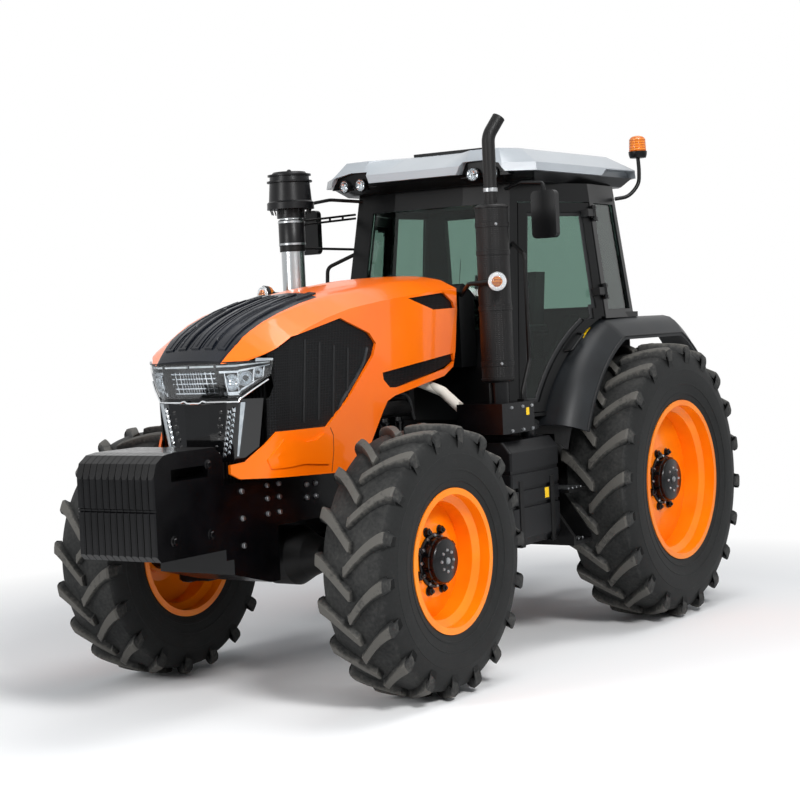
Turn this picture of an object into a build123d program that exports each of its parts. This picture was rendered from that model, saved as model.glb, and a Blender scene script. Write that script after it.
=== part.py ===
from build123d import *
import math
import os

os.makedirs("parts", exist_ok=True)

# Farm tractor, four-wheel drive. Millimetres. While modelling, X points forward from the rear axle, Y to the
# tractor's left and Z up from the ground. On export everything moves back so that the origin lies on the
# ground at the middle of the whole length.

# ---------------------------------------------------------------- driving dimensions
WHEELBASE = 2700
FRONT_TRACK = 1800
REAR_TRACK = 1830

# Each tyre size: outside diameter, section width, rim flange diameter, rim width, lugs a side, lug height,
# lug width
TYRE_SIZES = {
    "rear": dict(dia=1755, width=467, rim=1016, rim_width=410, lugs=20, lug_height=40, lug_width=40),
    "front": dict(dia=1435, width=429, rim=762, rim_width=375, lugs=18, lug_height=36, lug_width=37),
}
FRONT_Z = TYRE_SIZES["front"]["dia"] / 2
REAR_Z = TYRE_SIZES["rear"]["dia"] / 2
RIM_WALL = 9
FLANGE_FOOT = 16
FLANGE_TIP = 6
BEAD_DEPTH = 25
DISC_WALL = 16
FRONT_DISC_INSET = 130
REAR_DISC_INSET = 150
FRONT_HUB_RADIUS = 118
REAR_HUB_RADIUS = 135
FRONT_HUB_LENGTH = 80
REAR_HUB_LENGTH = 75
RUN_FIT = 0.3
SEAT_FIT = 0.3

KINGPIN_Y = 720
KINGPIN_RADIUS = 30
KNUCKLE_HEIGHT = 270
KNUCKLE_RADIUS = 72
FORK_WALL = 32
AXLE_TUBE_RADIUS = 82
DIFF_RADIUS = 165
SPINDLE_RADIUS = 100
TRUNNION_RADIUS = 55

FRAME_HALF = 250
FRAME_TOP = 1185
FRAME_RAIL_WALL = 45
FRAME_FRONT_X = WHEELBASE + 770
ENGINE_REAR_X = 1760
ENGINE_FRONT_X = WHEELBASE + 280
ENGINE_HALF = 255
ENGINE_BASE = 960
ENGINE_TOP = 1840

WEIGHT_COUNT = 12
WEIGHT_PITCH = 42.8
WEIGHT_WALL = 39.5
WEIGHT_REAR_X = FRAME_FRONT_X + 60
WEIGHT_FRONT_X = WEIGHT_REAR_X + 526
WEIGHT_BASE = 858
WEIGHT_TOP = 1383
CARRIER_WALL = 60

BONNET_WALL = 16
BONNET_HINGE_X = 1530
BONNET_HINGE_Z = 2168
BONNET_HINGE_RADIUS = 14
NOSE_X = WHEELBASE + 760

CAB_FLOOR_Z = 1362
CAB_FLOOR_WALL = 60
CAB_TOP_Z = 2700
GLASS = 8
DOOR_WALL = 34
DOOR_GAP = 6
ROOF_BASE_Z = 2775
ROOF_TOP_Z = 3000
ROOF_SPLIT = 57
ROOF_LAMP_RISE = 53
ROOF_LAMP_RADIUS = 40

FENDER_WALL = 22
FENDER_INNER_Y = 655
FENDER_OUTER_Y = 955

SIGNAL_X = 1731
SIGNAL_Y = 838
SIGNAL_Z = 2170
MUFFLER_X = 1570
MUFFLER_Y = 720
MUFFLER_RADIUS = 95
MUFFLER_BASE = 1592
MUFFLER_TOP = 2615
BOX_TOP = MUFFLER_BASE - 117
TAIL_RADIUS = 38
STACK_X = 1540
STACK_Y = -750
STACK_RADIUS = 72

LINK_PIVOT_X = -300
LINK_PIVOT_Z = 620
LINK_LENGTH = 800
LINK_ROD_AT = 470
LINK_EYE_RADIUS = 42
LINK_EYE_BORE = 28.7
LINK_Y_FRONT = 300
LINK_Y_REAR = 430
LIFT_SHAFT_Z = 1230

PTO_Z = 720
PTO_RADIUS = 17.5
PTO_FACE_X = -345
PTO_NECK = 10
PTO_LENGTH = 100
DRAWBAR_REACH = 780
DRAWBAR_Z = 460
DRAWBAR_PIN = 31
LINK_EYE_WIDTH = 45
LAMP_BASE = 1612
LAMP_TOP = LAMP_BASE + 194
BONNET_GAP_X = 1462
SIDE_LEAN = 0.1175
SIDE_FLARE = 0.319
SIDE_TOP_Y = 761
DOOR_HINGE_X = 450
DOOR_HINGE_HEIGHTS = (2100, 2590)
HINGE_STAND_OFF = 20
HINGE_RADIUS = 14
HINGE_PIN = 7
REAR_HINGE_X = 5
REAR_HINGE_Z = 2674
REAR_GLASS_BASE = 1996
REAR_GLASS_TOP = REAR_HINGE_Z - 26
FRONT_LEAN = 0.187
CAB_REAR_X = 25
CAB_WALL = 45
FENDER_INNER_RADIUS = 1150
FENDER_FLAT = FENDER_INNER_RADIUS * 0.915
FENDER_START = 22
FENDER_END = 142

REAR_REACH = -LINK_PIVOT_X + LINK_LENGTH + LINK_EYE_RADIUS
MID_X = (WEIGHT_FRONT_X - REAR_REACH) / 2

# ---------------------------------------------------------------- shape helpers


def box(x0, x1, y0, y1, z0, z1):
    """Block between two corners."""
    size = Box(x1 - x0, y1 - y0, z1 - z0)
    return Pos((x0 + x1) / 2, (y0 + y1) / 2, (z0 + z1) / 2) * size


def slab_y(points, y0, y1):
    """Outline of (x, z) points, extruded across the tractor."""
    face = Face(Wire.make_polygon([(x, y0, z) for x, z in points], close=True))
    return Solid.extrude(face, Vector(0, y1 - y0, 0))


def slab_x(points, x0, x1):
    """Outline of (y, z) points, extruded along the tractor."""
    face = Face(Wire.make_polygon([(x0, y, z) for y, z in points], close=True))
    return Solid.extrude(face, Vector(x1 - x0, 0, 0))


def slab_z(points, z0, z1):
    """Outline of (x, y) points, extruded upward."""
    face = Face(Wire.make_polygon([(x, y, z0) for x, y in points], close=True))
    return Solid.extrude(face, Vector(0, 0, z1 - z0))


def rod(start, end, radius):
    """Round bar between two points."""
    a = Vector(*start)
    b = Vector(*end)
    return Solid.make_cylinder(radius, (b - a).length, Plane(origin=a, z_dir=b - a))


def pipe(points, radius, bends):
    """Round bar along straight runs with rounded bends."""
    path = FilletPolyline(*points, radius=bends)
    start = Vector(*points[0])
    heading = Vector(*points[1]) - start
    return sweep(Plane(origin=start, z_dir=heading) * Circle(radius), path=path)


def turned(points, x, y, z):
    """Outline of (offset along Y, radius) points, turned about an axle line along Y."""
    face = Face(Wire.make_polygon([(0, a, r) for a, r in points], close=True))
    return Pos(x, y, z) * revolve(face, axis=Axis.Y)


def mirrored(shape):
    """The same piece on the tractor's other side."""
    return mirror(shape, about=Plane.XZ)


def put(name, *shapes):
    """Writes a piece, or several that don't touch, in the tractor's own frame."""
    solids = []
    for shape in shapes:
        solids.extend(shape.solids())
    moved = [Pos(-MID_X, 0, 0) * solid for solid in solids]
    export_step(moved[0] if len(moved) == 1 else Compound(children=moved), f"parts/{name}.step")


# ---------------------------------------------------------------- wheels


def rim(size, disc_y, hub_radius, hub_length, spindle_radius):
    """Drop-centre rim with its disc and hub, outer face towards +Y, centred on the tyre's middle."""
    half = size["rim_width"] / 2
    flange = size["rim"] / 2
    seat = flange - BEAD_DEPTH
    well = seat - 38
    step = half * 0.52
    wall = RIM_WALL
    outline = [
        (half, flange), (half - FLANGE_TIP, flange), (half - FLANGE_FOOT, seat), (step + 26, seat), (step,
                                                                                                     well),
        (-step, well), (-step - 26, seat), (-half + FLANGE_FOOT, seat), (-half + FLANGE_TIP, flange), (-half,
                                                                                                       flange),
        (-half, seat - wall), (-step - 30, seat - wall), (-step - 4, well - wall),
        (step + 4, well - wall), (step + 30, seat - wall), (half, seat - wall),
    ]
    barrel = turned(outline, 0, 0, 0)
    cone = disc_y - 46
    disc = turned(
        [(disc_y, hub_radius), (disc_y, hub_radius + 75), (cone, well - wall + 2),
         (cone - DISC_WALL, well - wall + 2),
         (disc_y - DISC_WALL, hub_radius + 70), (disc_y - DISC_WALL, hub_radius)], 0, 0, 0)
    tip = disc_y + hub_length
    hub = turned(
        [(disc_y - DISC_WALL - 18, spindle_radius + RUN_FIT), (disc_y - DISC_WALL - 18, hub_radius + 22),
         (disc_y - 1, hub_radius + 22), (disc_y + 6, hub_radius), (tip - 24, hub_radius - 14),
         (tip, hub_radius - 48), (tip, 0), (disc_y + 10, 0), (disc_y + 10,
                                                              spindle_radius + RUN_FIT)], 0, 0, 0)
    studs = []
    for turn in range(8):
        angle = math.radians(45 * turn + 22.5)
        at = hub_radius + 48
        x = at * math.cos(angle)
        z = at * math.sin(angle)
        studs.append(rod((x, disc_y - 2, z), (x, disc_y + 26, z), 13))
    return barrel.fuse(disc, hub, *studs)


def ring_point(angle, radius, y):
    """Point on a tyre, by its angle in degrees from the top towards the front."""
    turn = math.radians(angle)
    return Vector(radius * math.sin(turn), y, radius * math.cos(turn))


def facet(*corners):
    """Flat face between three or four corners."""
    return Face(Wire.make_polygon(corners, close=True))


def lug(size, side, angle):
    """Tread bar on one half of the tread: its nose leads near the centre, its heel drops past the shoulder."""
    radius = size["dia"] / 2
    carcass = radius - size["lug_height"]
    edge = size["width"] * 0.47
    wide = math.degrees(size["lug_width"] / 2 / radius)
    run = math.degrees(edge * 0.9 / radius)
    # Each station down the bar: angle, half width in degrees, distance from the centre, radius
    stations = [
        (run / 2, wide * 1.7, -16, carcass - 14),
        (run / 2, wide, -8, radius),
        (-run / 2, wide, edge, radius - 12),
        (-run / 2, wide * 1.7, edge - 22, radius - 112),
    ]
    fore = [ring_point(angle + at + half, r, side * y) for at, half, y, r in stations]
    aft = [ring_point(angle + at - half, r, side * y) for at, half, y, r in stations]
    faces = []
    for near in range(4):
        far = (near + 1) % 4
        faces.append(facet(fore[near], fore[far], aft[far]))
        faces.append(facet(fore[near], aft[far], aft[near]))
    for row in (fore, aft):
        faces.extend([facet(row[0], row[1], row[2]), facet(row[0], row[2], row[3])])
    return Solid(Shell(faces))


def tyre(size):
    """Tyre carcass in flat facets, three to each pair of bars, with staggered bars on both halves of its tread."""
    radius = size["dia"] / 2
    carcass = radius - size["lug_height"]
    half = size["width"] / 2
    bead = size["rim_width"] / 2 - FLANGE_FOOT - SEAT_FIT
    flange = size["rim"] / 2
    seat = flange - BEAD_DEPTH + SEAT_FIT
    mid = flange + (carcass - flange) * 0.45
    facets = size["lugs"] * 3 // 2
    step = 360 / facets
    seat = seat / math.cos(math.radians(step / 2))
    outline = [(-bead, seat), (bead, seat), (half, mid), (half * 0.84, carcass), (-half * 0.84, carcass),
               (-half, mid)]
    faces = []
    for turn in range(facets):
        start = (turn - 0.5) * step
        for near in range(len(outline)):
            y0, r0 = outline[near]
            y1, r1 = outline[(near + 1) % len(outline)]
            faces.append(facet(ring_point(start, r0, y0), ring_point(start + step, r0, y0),
                               ring_point(start + step, r1, y1), ring_point(start, r1, y1)))
    body = Solid(Shell(faces))
    pitch = 360 / size["lugs"]
    bars = []
    for turn in range(size["lugs"]):
        bars.append(lug(size, 1, turn * pitch))
        bars.append(lug(size, -1, (turn + 0.5) * pitch))
    return body.fuse(*bars)


rear = TYRE_SIZES["rear"]
front = TYRE_SIZES["front"]
rear_disc = rear["rim_width"] / 2 - REAR_DISC_INSET
front_disc = front["rim_width"] / 2 - FRONT_DISC_INSET
rear_rim = rim(rear, rear_disc, REAR_HUB_RADIUS, REAR_HUB_LENGTH, SPINDLE_RADIUS)
front_rim = rim(front, front_disc, FRONT_HUB_RADIUS, FRONT_HUB_LENGTH, SPINDLE_RADIUS - 25)
rear_tyre = tyre(rear)
front_tyre = tyre(front)
for side, sign in (("left", 1), ("right", -1)):
    turn = Rot(0, 0, 0) if sign == 1 else Rot(0, 0, 180)
    rear_at = Pos(0, sign * REAR_TRACK / 2, REAR_Z)
    front_at = Pos(WHEELBASE, sign * FRONT_TRACK / 2, FRONT_Z)
    put(f"rear_rim_{side}", rear_at * turn * rear_rim)
    put(f"rear_tyre_{side}", rear_at * rear_tyre)
    put(f"front_rim_{side}", front_at * turn * front_rim)
    put(f"front_tyre_{side}", front_at * front_tyre)

# ---------------------------------------------------------------- front axle and steering
# The axle beam hangs on fore-and-aft trunnions in the front frame. Forks at its ends carry the knuckles on
# kingpins; a double-ended steering cylinder lies behind it.
fork_gap = KNUCKLE_HEIGHT / 2 + 1
fork_tip = KINGPIN_Y
beam = turned([(-560, 0), (-560, 78), (-250, AXLE_TUBE_RADIUS), (-150, 130), (-60, DIFF_RADIUS),
               (90, DIFF_RADIUS),
               (170, 120), (260, AXLE_TUBE_RADIUS), (560, 78), (560, 0)], WHEELBASE, 0, FRONT_Z)
trunnion_front = WHEELBASE + 400
trunnion_rear = WHEELBASE - 400
trunnions = rod((trunnion_rear + 4, 0, FRONT_Z), (trunnion_front - 4, 0, FRONT_Z), TRUNNION_RADIUS)
forks = []
for sign in (1, -1):
    post = box(WHEELBASE - 50, WHEELBASE + 50, 540, 610, FRONT_Z - fork_gap - FORK_WALL,
               FRONT_Z + fork_gap + FORK_WALL)
    for z0 in (FRONT_Z + fork_gap, FRONT_Z - fork_gap - FORK_WALL):
        plate = box(WHEELBASE - 60, WHEELBASE + 60, 600, fork_tip, z0, z0 + FORK_WALL)
        plate += Pos(WHEELBASE, fork_tip, z0 + FORK_WALL / 2) * Cylinder(60, FORK_WALL)
        plate -= Pos(WHEELBASE, fork_tip, z0 + FORK_WALL / 2) * Cylinder(KINGPIN_RADIUS + RUN_FIT,
                                                                         FORK_WALL + 2)
        post += plate
    forks.append(post if sign == 1 else mirrored(post))
cylinder_x = WHEELBASE - 250
cylinder_z = FRONT_Z + 52
ram = rod((cylinder_x, -230, cylinder_z), (cylinder_x, 230, cylinder_z), 40)
ram += rod((cylinder_x, -560, cylinder_z), (cylinder_x, 560, cylinder_z), 17)
for sign in (1, -1):
    ram += Pos(cylinder_x, sign * 575, cylinder_z) * Cylinder(32, 36)
    ram += box(cylinder_x - 20, WHEELBASE - 60, sign * 150 - 25, sign * 150 + 25, cylinder_z - 22,
               cylinder_z + 22)
front_axle = beam.fuse(trunnions, *forks, ram)
put("front_axle", front_axle)

arm_x = cylinder_x
knuckle = Pos(WHEELBASE, KINGPIN_Y, FRONT_Z) * Cylinder(KNUCKLE_RADIUS, KNUCKLE_HEIGHT)
knuckle += Pos(WHEELBASE, KINGPIN_Y, FRONT_Z) * Cylinder(KINGPIN_RADIUS, KNUCKLE_HEIGHT + 2 * FORK_WALL)
hub_face = FRONT_TRACK / 2 + front_disc - DISC_WALL - 18
knuckle += turned([(KINGPIN_Y, 0), (KINGPIN_Y, 100), (hub_face - 40, 118), (hub_face - RUN_FIT, 118),
                   (hub_face - RUN_FIT, SPINDLE_RADIUS - 25), (hub_face + 26,
                                                               SPINDLE_RADIUS - 25), (hub_face + 26, 0)],
                  WHEELBASE, 0, FRONT_Z)
arm = slab_z([(WHEELBASE, KINGPIN_Y - 30), (WHEELBASE, KINGPIN_Y + 30), (arm_x - 28, KINGPIN_Y + 6),
              (arm_x - 28, KINGPIN_Y - 42)], FRONT_Z - 20, FRONT_Z + 20)
knuckle += arm
put("knuckle_left", knuckle)
put("knuckle_right", mirrored(knuckle))

# ---------------------------------------------------------------- frame, engine and driveline
rails = []
for sign in (1, -1):
    y0, y1 = sorted((sign * (FRAME_HALF - FRAME_RAIL_WALL), sign * FRAME_HALF))
    rails.append(slab_y([(ENGINE_REAR_X - 60, 1000), (ENGINE_REAR_X + 440, 930), (trunnion_front, 930),
                         (trunnion_front + 60, 720), (FRAME_FRONT_X, 720),
                         (FRAME_FRONT_X, FRAME_TOP), (ENGINE_REAR_X - 60, FRAME_TOP)], y0, y1))
nose = slab_y([(trunnion_front - 10, 640), (trunnion_front + 70, 640), (FRAME_FRONT_X, 720),
               (FRAME_FRONT_X, FRAME_TOP),
               (trunnion_front - 10, FRAME_TOP)], -FRAME_HALF + 5, FRAME_HALF - 5)
saddle = slab_y([(trunnion_rear - 90, 640), (trunnion_rear + 6, 640), (trunnion_rear + 40, 930),
                 (trunnion_rear - 130, 930)],
                -150, 150)
saddle += box(trunnion_rear - 130, trunnion_rear + 40, -FRAME_HALF + 5, FRAME_HALF - 5, 930, 975)
carrier = slab_y([(FRAME_FRONT_X, 800), (WEIGHT_REAR_X - SEAT_FIT, 800), (WEIGHT_REAR_X - SEAT_FIT, 1000),
                  (WEIGHT_REAR_X + CARRIER_WALL, 1000), (WEIGHT_REAR_X + CARRIER_WALL, 1080),
                  (WEIGHT_REAR_X - SEAT_FIT, 1080), (WEIGHT_REAR_X - SEAT_FIT, FRAME_TOP), (FRAME_FRONT_X,
                                                                                            FRAME_TOP)],
                 -FRAME_HALF, FRAME_HALF)
bore = rod((trunnion_rear - 2, 0, FRONT_Z), (trunnion_front + 2, 0, FRONT_Z), TRUNNION_RADIUS + RUN_FIT)
front_frame = rails[0].fuse(rails[1], nose, saddle, carrier)
front_frame -= bore
put("front_frame", front_frame)

weights = []
for count in range(WEIGHT_COUNT):
    y = (count - (WEIGHT_COUNT - 1) / 2) * WEIGHT_PITCH - WEIGHT_WALL / 2
    plate = slab_y([(WEIGHT_REAR_X, WEIGHT_BASE), (WEIGHT_FRONT_X - 30, WEIGHT_BASE),
                    (WEIGHT_FRONT_X, WEIGHT_BASE + 30),
                    (WEIGHT_FRONT_X, 1098), (WEIGHT_FRONT_X - 12, 1104), (WEIGHT_FRONT_X - 12,
                                                                          1112), (WEIGHT_FRONT_X, 1118),
                    (WEIGHT_FRONT_X, 1262), (WEIGHT_FRONT_X - 26, 1338), (WEIGHT_FRONT_X - 80, 1374),
                    (WEIGHT_FRONT_X - 150, WEIGHT_TOP), (WEIGHT_REAR_X + 60, WEIGHT_TOP), (WEIGHT_REAR_X,
                                                                                           WEIGHT_TOP - 50)],
                   y, y + WEIGHT_WALL)
    edges = plate.edges().filter_by(Axis.Z).filter_by(lambda edge: edge.center().X > WEIGHT_FRONT_X - 1)
    plate = chamfer(edges, 7)
    slot = box(WEIGHT_REAR_X - 5, WEIGHT_REAR_X + CARRIER_WALL + SEAT_FIT, y - 1, y + WEIGHT_WALL + 1,
               1000 - SEAT_FIT, 1080 + SEAT_FIT)
    grip = box(WEIGHT_REAR_X + 120, WEIGHT_FRONT_X - 130, y - 1, y + WEIGHT_WALL + 1, 1240, 1300)
    weights.append(plate - slot - grip)
put("front_weights", *weights)

engine = box(ENGINE_REAR_X, ENGINE_FRONT_X, -FRAME_HALF + FRAME_RAIL_WALL + 1,
             FRAME_HALF - FRAME_RAIL_WALL - 1,
             ENGINE_BASE, FRAME_TOP + 40)
engine += box(ENGINE_REAR_X, ENGINE_FRONT_X, -ENGINE_HALF, ENGINE_HALF, FRAME_TOP + 1, ENGINE_TOP)
engine -= box(trunnion_rear - 140, trunnion_rear + 50, -FRAME_HALF, FRAME_HALF, 900, 975 + SEAT_FIT)
put("engine_block", engine)
put("radiator", box(ENGINE_FRONT_X + 100, ENGINE_FRONT_X + 220, -300, 300, FRAME_TOP + SEAT_FIT, 1800))

gearbox = slab_y([(-330, 700), (-330, 1180), (-150, 1290), (350, 1290), (700, 1230),
                  (ENGINE_REAR_X - SEAT_FIT, 1230),
                  (ENGINE_REAR_X - SEAT_FIT, 900), (900, 800), (700, 620), (200, 600)], -190, 190)
gearbox = fillet(gearbox.edges().filter_by(Axis.Y), 30)
bell = Pos(ENGINE_REAR_X - 130, 0, 1060) * Rot(0, 90, 0) * Cylinder(245, 160)
gearbox += bell & box(ENGINE_REAR_X - 300, ENGINE_REAR_X - 61, -260, 260, 700, 1290)
axle_case = turned([(-650, 0), (-650, 150), (-610, 150), (-590, 110), (-300, 140), (-190, 230), (190, 230),
                    (300, 140),
                    (590, 110), (610, 150), (650, 150), (650, 0)], 0, 0, REAR_Z)
spindle_end = REAR_TRACK / 2 + rear_disc - DISC_WALL - 18
axle_case += rod((0, -spindle_end - 26, REAR_Z), (0, spindle_end + 26, REAR_Z), SPINDLE_RADIUS)
axle_case -= box(-400, 1000, -190, 190, 500, 1400)
put("rear_axle", axle_case)

# ---------------------------------------------------------------- lift, drawbar and linkage brackets
shaft_x = LINK_PIVOT_X
put_gearbox = gearbox + box(shaft_x - 80, 120, -190, 190, 1120, LIFT_SHAFT_Z + 62)
put_gearbox -= rod((shaft_x, -200, LIFT_SHAFT_Z), (shaft_x, 200, LIFT_SHAFT_Z), 36 + RUN_FIT)
for sign in (1, -1):
    y0, y1 = sorted((sign * 150, sign * (LINK_Y_FRONT + 30)))
    put_gearbox += rod((LINK_PIVOT_X, y0, LINK_PIVOT_Z), (LINK_PIVOT_X, y1, LINK_PIVOT_Z), 22)
    y0, y1 = sorted((sign * 120, sign * 180))
    put_gearbox += box(LINK_PIVOT_X - 45, -100, y0, y1, LINK_PIVOT_Z - 45, 760)
top_bracket = box(-440, -320, -60, -30, 1000, 1100) + box(-440, -320, 30, 60, 1000, 1100)
top_bracket -= rod((-410, -70, 1050), (-410, 70, 1050), 12.75)
pto = rod((-320, 0, PTO_Z + 40), (PTO_FACE_X, 0, PTO_Z + 40), 95) - box(-400, -300, -120, 120, 560, 700)
pto += rod((PTO_FACE_X + 5, 0, PTO_Z), (PTO_FACE_X - PTO_NECK - 5, 0, PTO_Z), PTO_RADIUS - 3.5)
pto += rod((PTO_FACE_X - PTO_NECK, 0, PTO_Z), (PTO_FACE_X - PTO_NECK - PTO_LENGTH, 0, PTO_Z), PTO_RADIUS)
for sign in (1, -1):
    y0, y1 = sorted((sign * 185, sign * (350 - SEAT_FIT)))
    put_gearbox += box(1180, 1640, y0, y1, 1000, 1060)
put("transmission", put_gearbox.fuse(top_bracket, pto))
bar = box(-DRAWBAR_REACH, 350, -40, 40, DRAWBAR_Z - 20, DRAWBAR_Z + 20)
bar -= Pos(-DRAWBAR_REACH + 50, 0, DRAWBAR_Z) * Cylinder(DRAWBAR_PIN / 2, 60)
bar += box(220, 340, -60, 60, DRAWBAR_Z + 19, 606)
bar += box(-260, -160, -60, 60, DRAWBAR_Z + 19, 602)
put("drawbar", bar - box(-400, 400, -100, 100, 600, 700))

arms = rod((shaft_x, -392, LIFT_SHAFT_Z), (shaft_x, 392, LIFT_SHAFT_Z), 36)
links = []
lift_rods = []
rod_y = LINK_Y_FRONT + (LINK_Y_REAR - LINK_Y_FRONT) * LINK_ROD_AT / LINK_LENGTH
rod_x = LINK_PIVOT_X - LINK_ROD_AT
for sign in (1, -1):
    y0, y1 = sorted((sign * (rod_y - 14), sign * (rod_y + 14)))
    arm = slab_y([(shaft_x + 30, LIFT_SHAFT_Z + 60), (shaft_x + 30, LIFT_SHAFT_Z - 60),
                  (shaft_x - 60, LIFT_SHAFT_Z - 60),
                  (rod_x, LIFT_SHAFT_Z - 30), (rod_x - 30, LIFT_SHAFT_Z), (rod_x, LIFT_SHAFT_Z + 30),
                  (shaft_x - 60, LIFT_SHAFT_Z + 60)], y0, y1)
    arms += arm - rod((rod_x, -500, LIFT_SHAFT_Z), (rod_x, 500, LIFT_SHAFT_Z), 13)
    front_eye = Pos(LINK_PIVOT_X, sign * LINK_Y_FRONT, LINK_PIVOT_Z) * Rot(90, 0,
                                                                           0) * Cylinder(LINK_EYE_RADIUS, 44)
    rear_eye = Pos(LINK_PIVOT_X - LINK_LENGTH, sign * LINK_Y_REAR, LINK_PIVOT_Z) * Rot(90, 0, 0)
    rear_eye = rear_eye * Cylinder(LINK_EYE_RADIUS, LINK_EYE_WIDTH)
    y_front = sign * LINK_Y_FRONT
    y_rear = sign * LINK_Y_REAR
    web = slab_z([(LINK_PIVOT_X - 20, y_front - 14), (LINK_PIVOT_X - 20, y_front + 14),
                  (LINK_PIVOT_X - LINK_LENGTH + 25, y_rear + 14), (LINK_PIVOT_X - LINK_LENGTH + 25,
                                                                   y_rear - 14)],
                 LINK_PIVOT_Z - 32, LINK_PIVOT_Z + 32)
    link = front_eye.fuse(rear_eye, web)
    link -= rod((LINK_PIVOT_X, -500, LINK_PIVOT_Z), (LINK_PIVOT_X, 500, LINK_PIVOT_Z), 22 + RUN_FIT)
    end_x = LINK_PIVOT_X - LINK_LENGTH
    link -= rod((end_x, -600, LINK_PIVOT_Z), (end_x, 600, LINK_PIVOT_Z), LINK_EYE_BORE / 2)
    link -= rod((rod_x, -500, LINK_PIVOT_Z), (rod_x, 500, LINK_PIVOT_Z), 13)
    links.append(link)
    lower = [rod((rod_x, sign * rod_y - 60, LINK_PIVOT_Z), (rod_x, sign * rod_y + 60, LINK_PIVOT_Z),
                 13 - RUN_FIT)]
    lower.append(rod((rod_x, sign * rod_y - 38, LIFT_SHAFT_Z), (rod_x, sign * rod_y + 38, LIFT_SHAFT_Z),
                     13 - RUN_FIT))
    for across in (-32, 32):
        side_y = sign * rod_y + across
        lower.append(box(rod_x - 22, rod_x + 22, side_y - 7, side_y + 7, LINK_PIVOT_Z - 28,
                         LINK_PIVOT_Z + 110))
        lower.append(box(rod_x - 22, rod_x + 22, side_y - 7, side_y + 7, LIFT_SHAFT_Z - 110,
                         LIFT_SHAFT_Z + 28))
    for z in (LINK_PIVOT_Z + 97, LIFT_SHAFT_Z - 110):
        lower.append(box(rod_x - 22, rod_x + 22, sign * rod_y - 39, sign * rod_y + 39, z, z + 13))
    lower.append(rod((rod_x, sign * rod_y, LINK_PIVOT_Z + 100), (rod_x, sign * rod_y, LIFT_SHAFT_Z - 100),
                     24))
    lift_rods.append(lower[0].fuse(*lower[1:]))
put("lift_arms", arms)
put("lower_links", *links)
put("lift_rods", *lift_rods)

def side_y(x, z):
    """Outer face of the cab's side at a place along the tractor and a height."""
    lean = SIDE_LEAN * (CAB_TOP_Z - z)
    if x >= DOOR_HINGE_X:
        return SIDE_TOP_Y - SIDE_FLARE * (x - DOOR_HINGE_X) + lean
    return SIDE_TOP_Y - 0.098 * (DOOR_HINGE_X - x) + lean


def cab_form(inset, low, high):
    """The cab's outer form between two heights, inset from its faces."""
    wires = []
    for z in (low, high):
        front_x = 1080 + (CAB_TOP_Z - z) * FRONT_LEAN
        rear_x = CAB_REAR_X - (CAB_TOP_Z - z) * 0.06
        half = [(front_x + 40 - inset, 250), (front_x - inset, side_y(front_x, z) - inset),
                (DOOR_HINGE_X, side_y(DOOR_HINGE_X, z) - inset), (rear_x + inset, side_y(rear_x, z) - inset)]
        plan = half + [(x, -y) for x, y in reversed(half)]
        wires.append(Wire.make_polygon([(x, y, z) for x, y in plan], close=True))
    return Solid.make_loft(wires, True)


# ---------------------------------------------------------------- bonnet
# The bonnet tilts about a pin near the windscreen. Its skin, insert, mesh and vents follow one set of
# sections.
# Each section: x, crown height, shoulder y and z, edge y and z, foot y
BONNET_SECTIONS = [
    (NOSE_X, 1816, 205, 1808, 250, 1772, 248),
    (NOSE_X - 100, 1905, 228, 1890, 330, 1822, 318),
    (NOSE_X - 220, 1978, 252, 1958, 415, 1860, 385),
    (NOSE_X - 460, 2068, 280, 2044, 426, 1956, 392),
    (NOSE_X - 860, 2152, 296, 2124, 424, 2052, 395),
    (2000, 2224, 305, 2190, 418, 2114, 400),
    (1480, 2240, 305, 2202, 412, 2150, 402),
]
BONNET_FOOT = 1120


def rounded_sections(sections):
    """The same sections with one more between each two, on the smooth curve through them all."""
    first = [2 * a - b for a, b in zip(sections[0], sections[1])]
    last = [2 * a - b for a, b in zip(sections[-1], sections[-2])]
    rows = [first, *sections, last]
    full = []
    for before, near, far, after in zip(rows, rows[1:], rows[2:], rows[3:]):
        full.append(near)
        full.append([(9 * (b + c) - a - d) / 16 for a, b, c, d in zip(before, near, far, after)])
    return [*full, sections[-1]]


BONNET_FULL = rounded_sections(BONNET_SECTIONS)


def bonnet_form(inset, grow=0):
    """The bonnet's form through its sections, inset from the skin, or grown upward for the ribs."""
    sections = []
    for x, crown, shoulder_y, shoulder_z, edge_y, edge_z, foot_y in BONNET_FULL:
        lift = grow - inset
        low = BONNET_FOOT - 5 if inset > 0 else BONNET_FOOT
        left = [(-foot_y + inset, low), (-edge_y + inset, edge_z + lift * 0.6),
                (-shoulder_y + inset * 0.4, shoulder_z + lift)]
        right = [(-y, z) for y, z in reversed(left)]
        line = [Edge.make_line((x, *left[0]), (x, *left[1])), Edge.make_line((x, *left[1]), (x, *left[2]))]
        line.append(Edge.make_three_point_arc((x, *left[2]), (x, 0, crown + lift), (x, *right[0])))
        line.append(Edge.make_line((x, *right[0]), (x, *right[1])))
        line.append(Edge.make_line((x, *right[1]), (x, *right[2])))
        line.append(Edge.make_line((x, *right[2]), (x, *left[0])))
        sections.append(Wire(line))
    return Solid.make_loft(sections, True)


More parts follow.
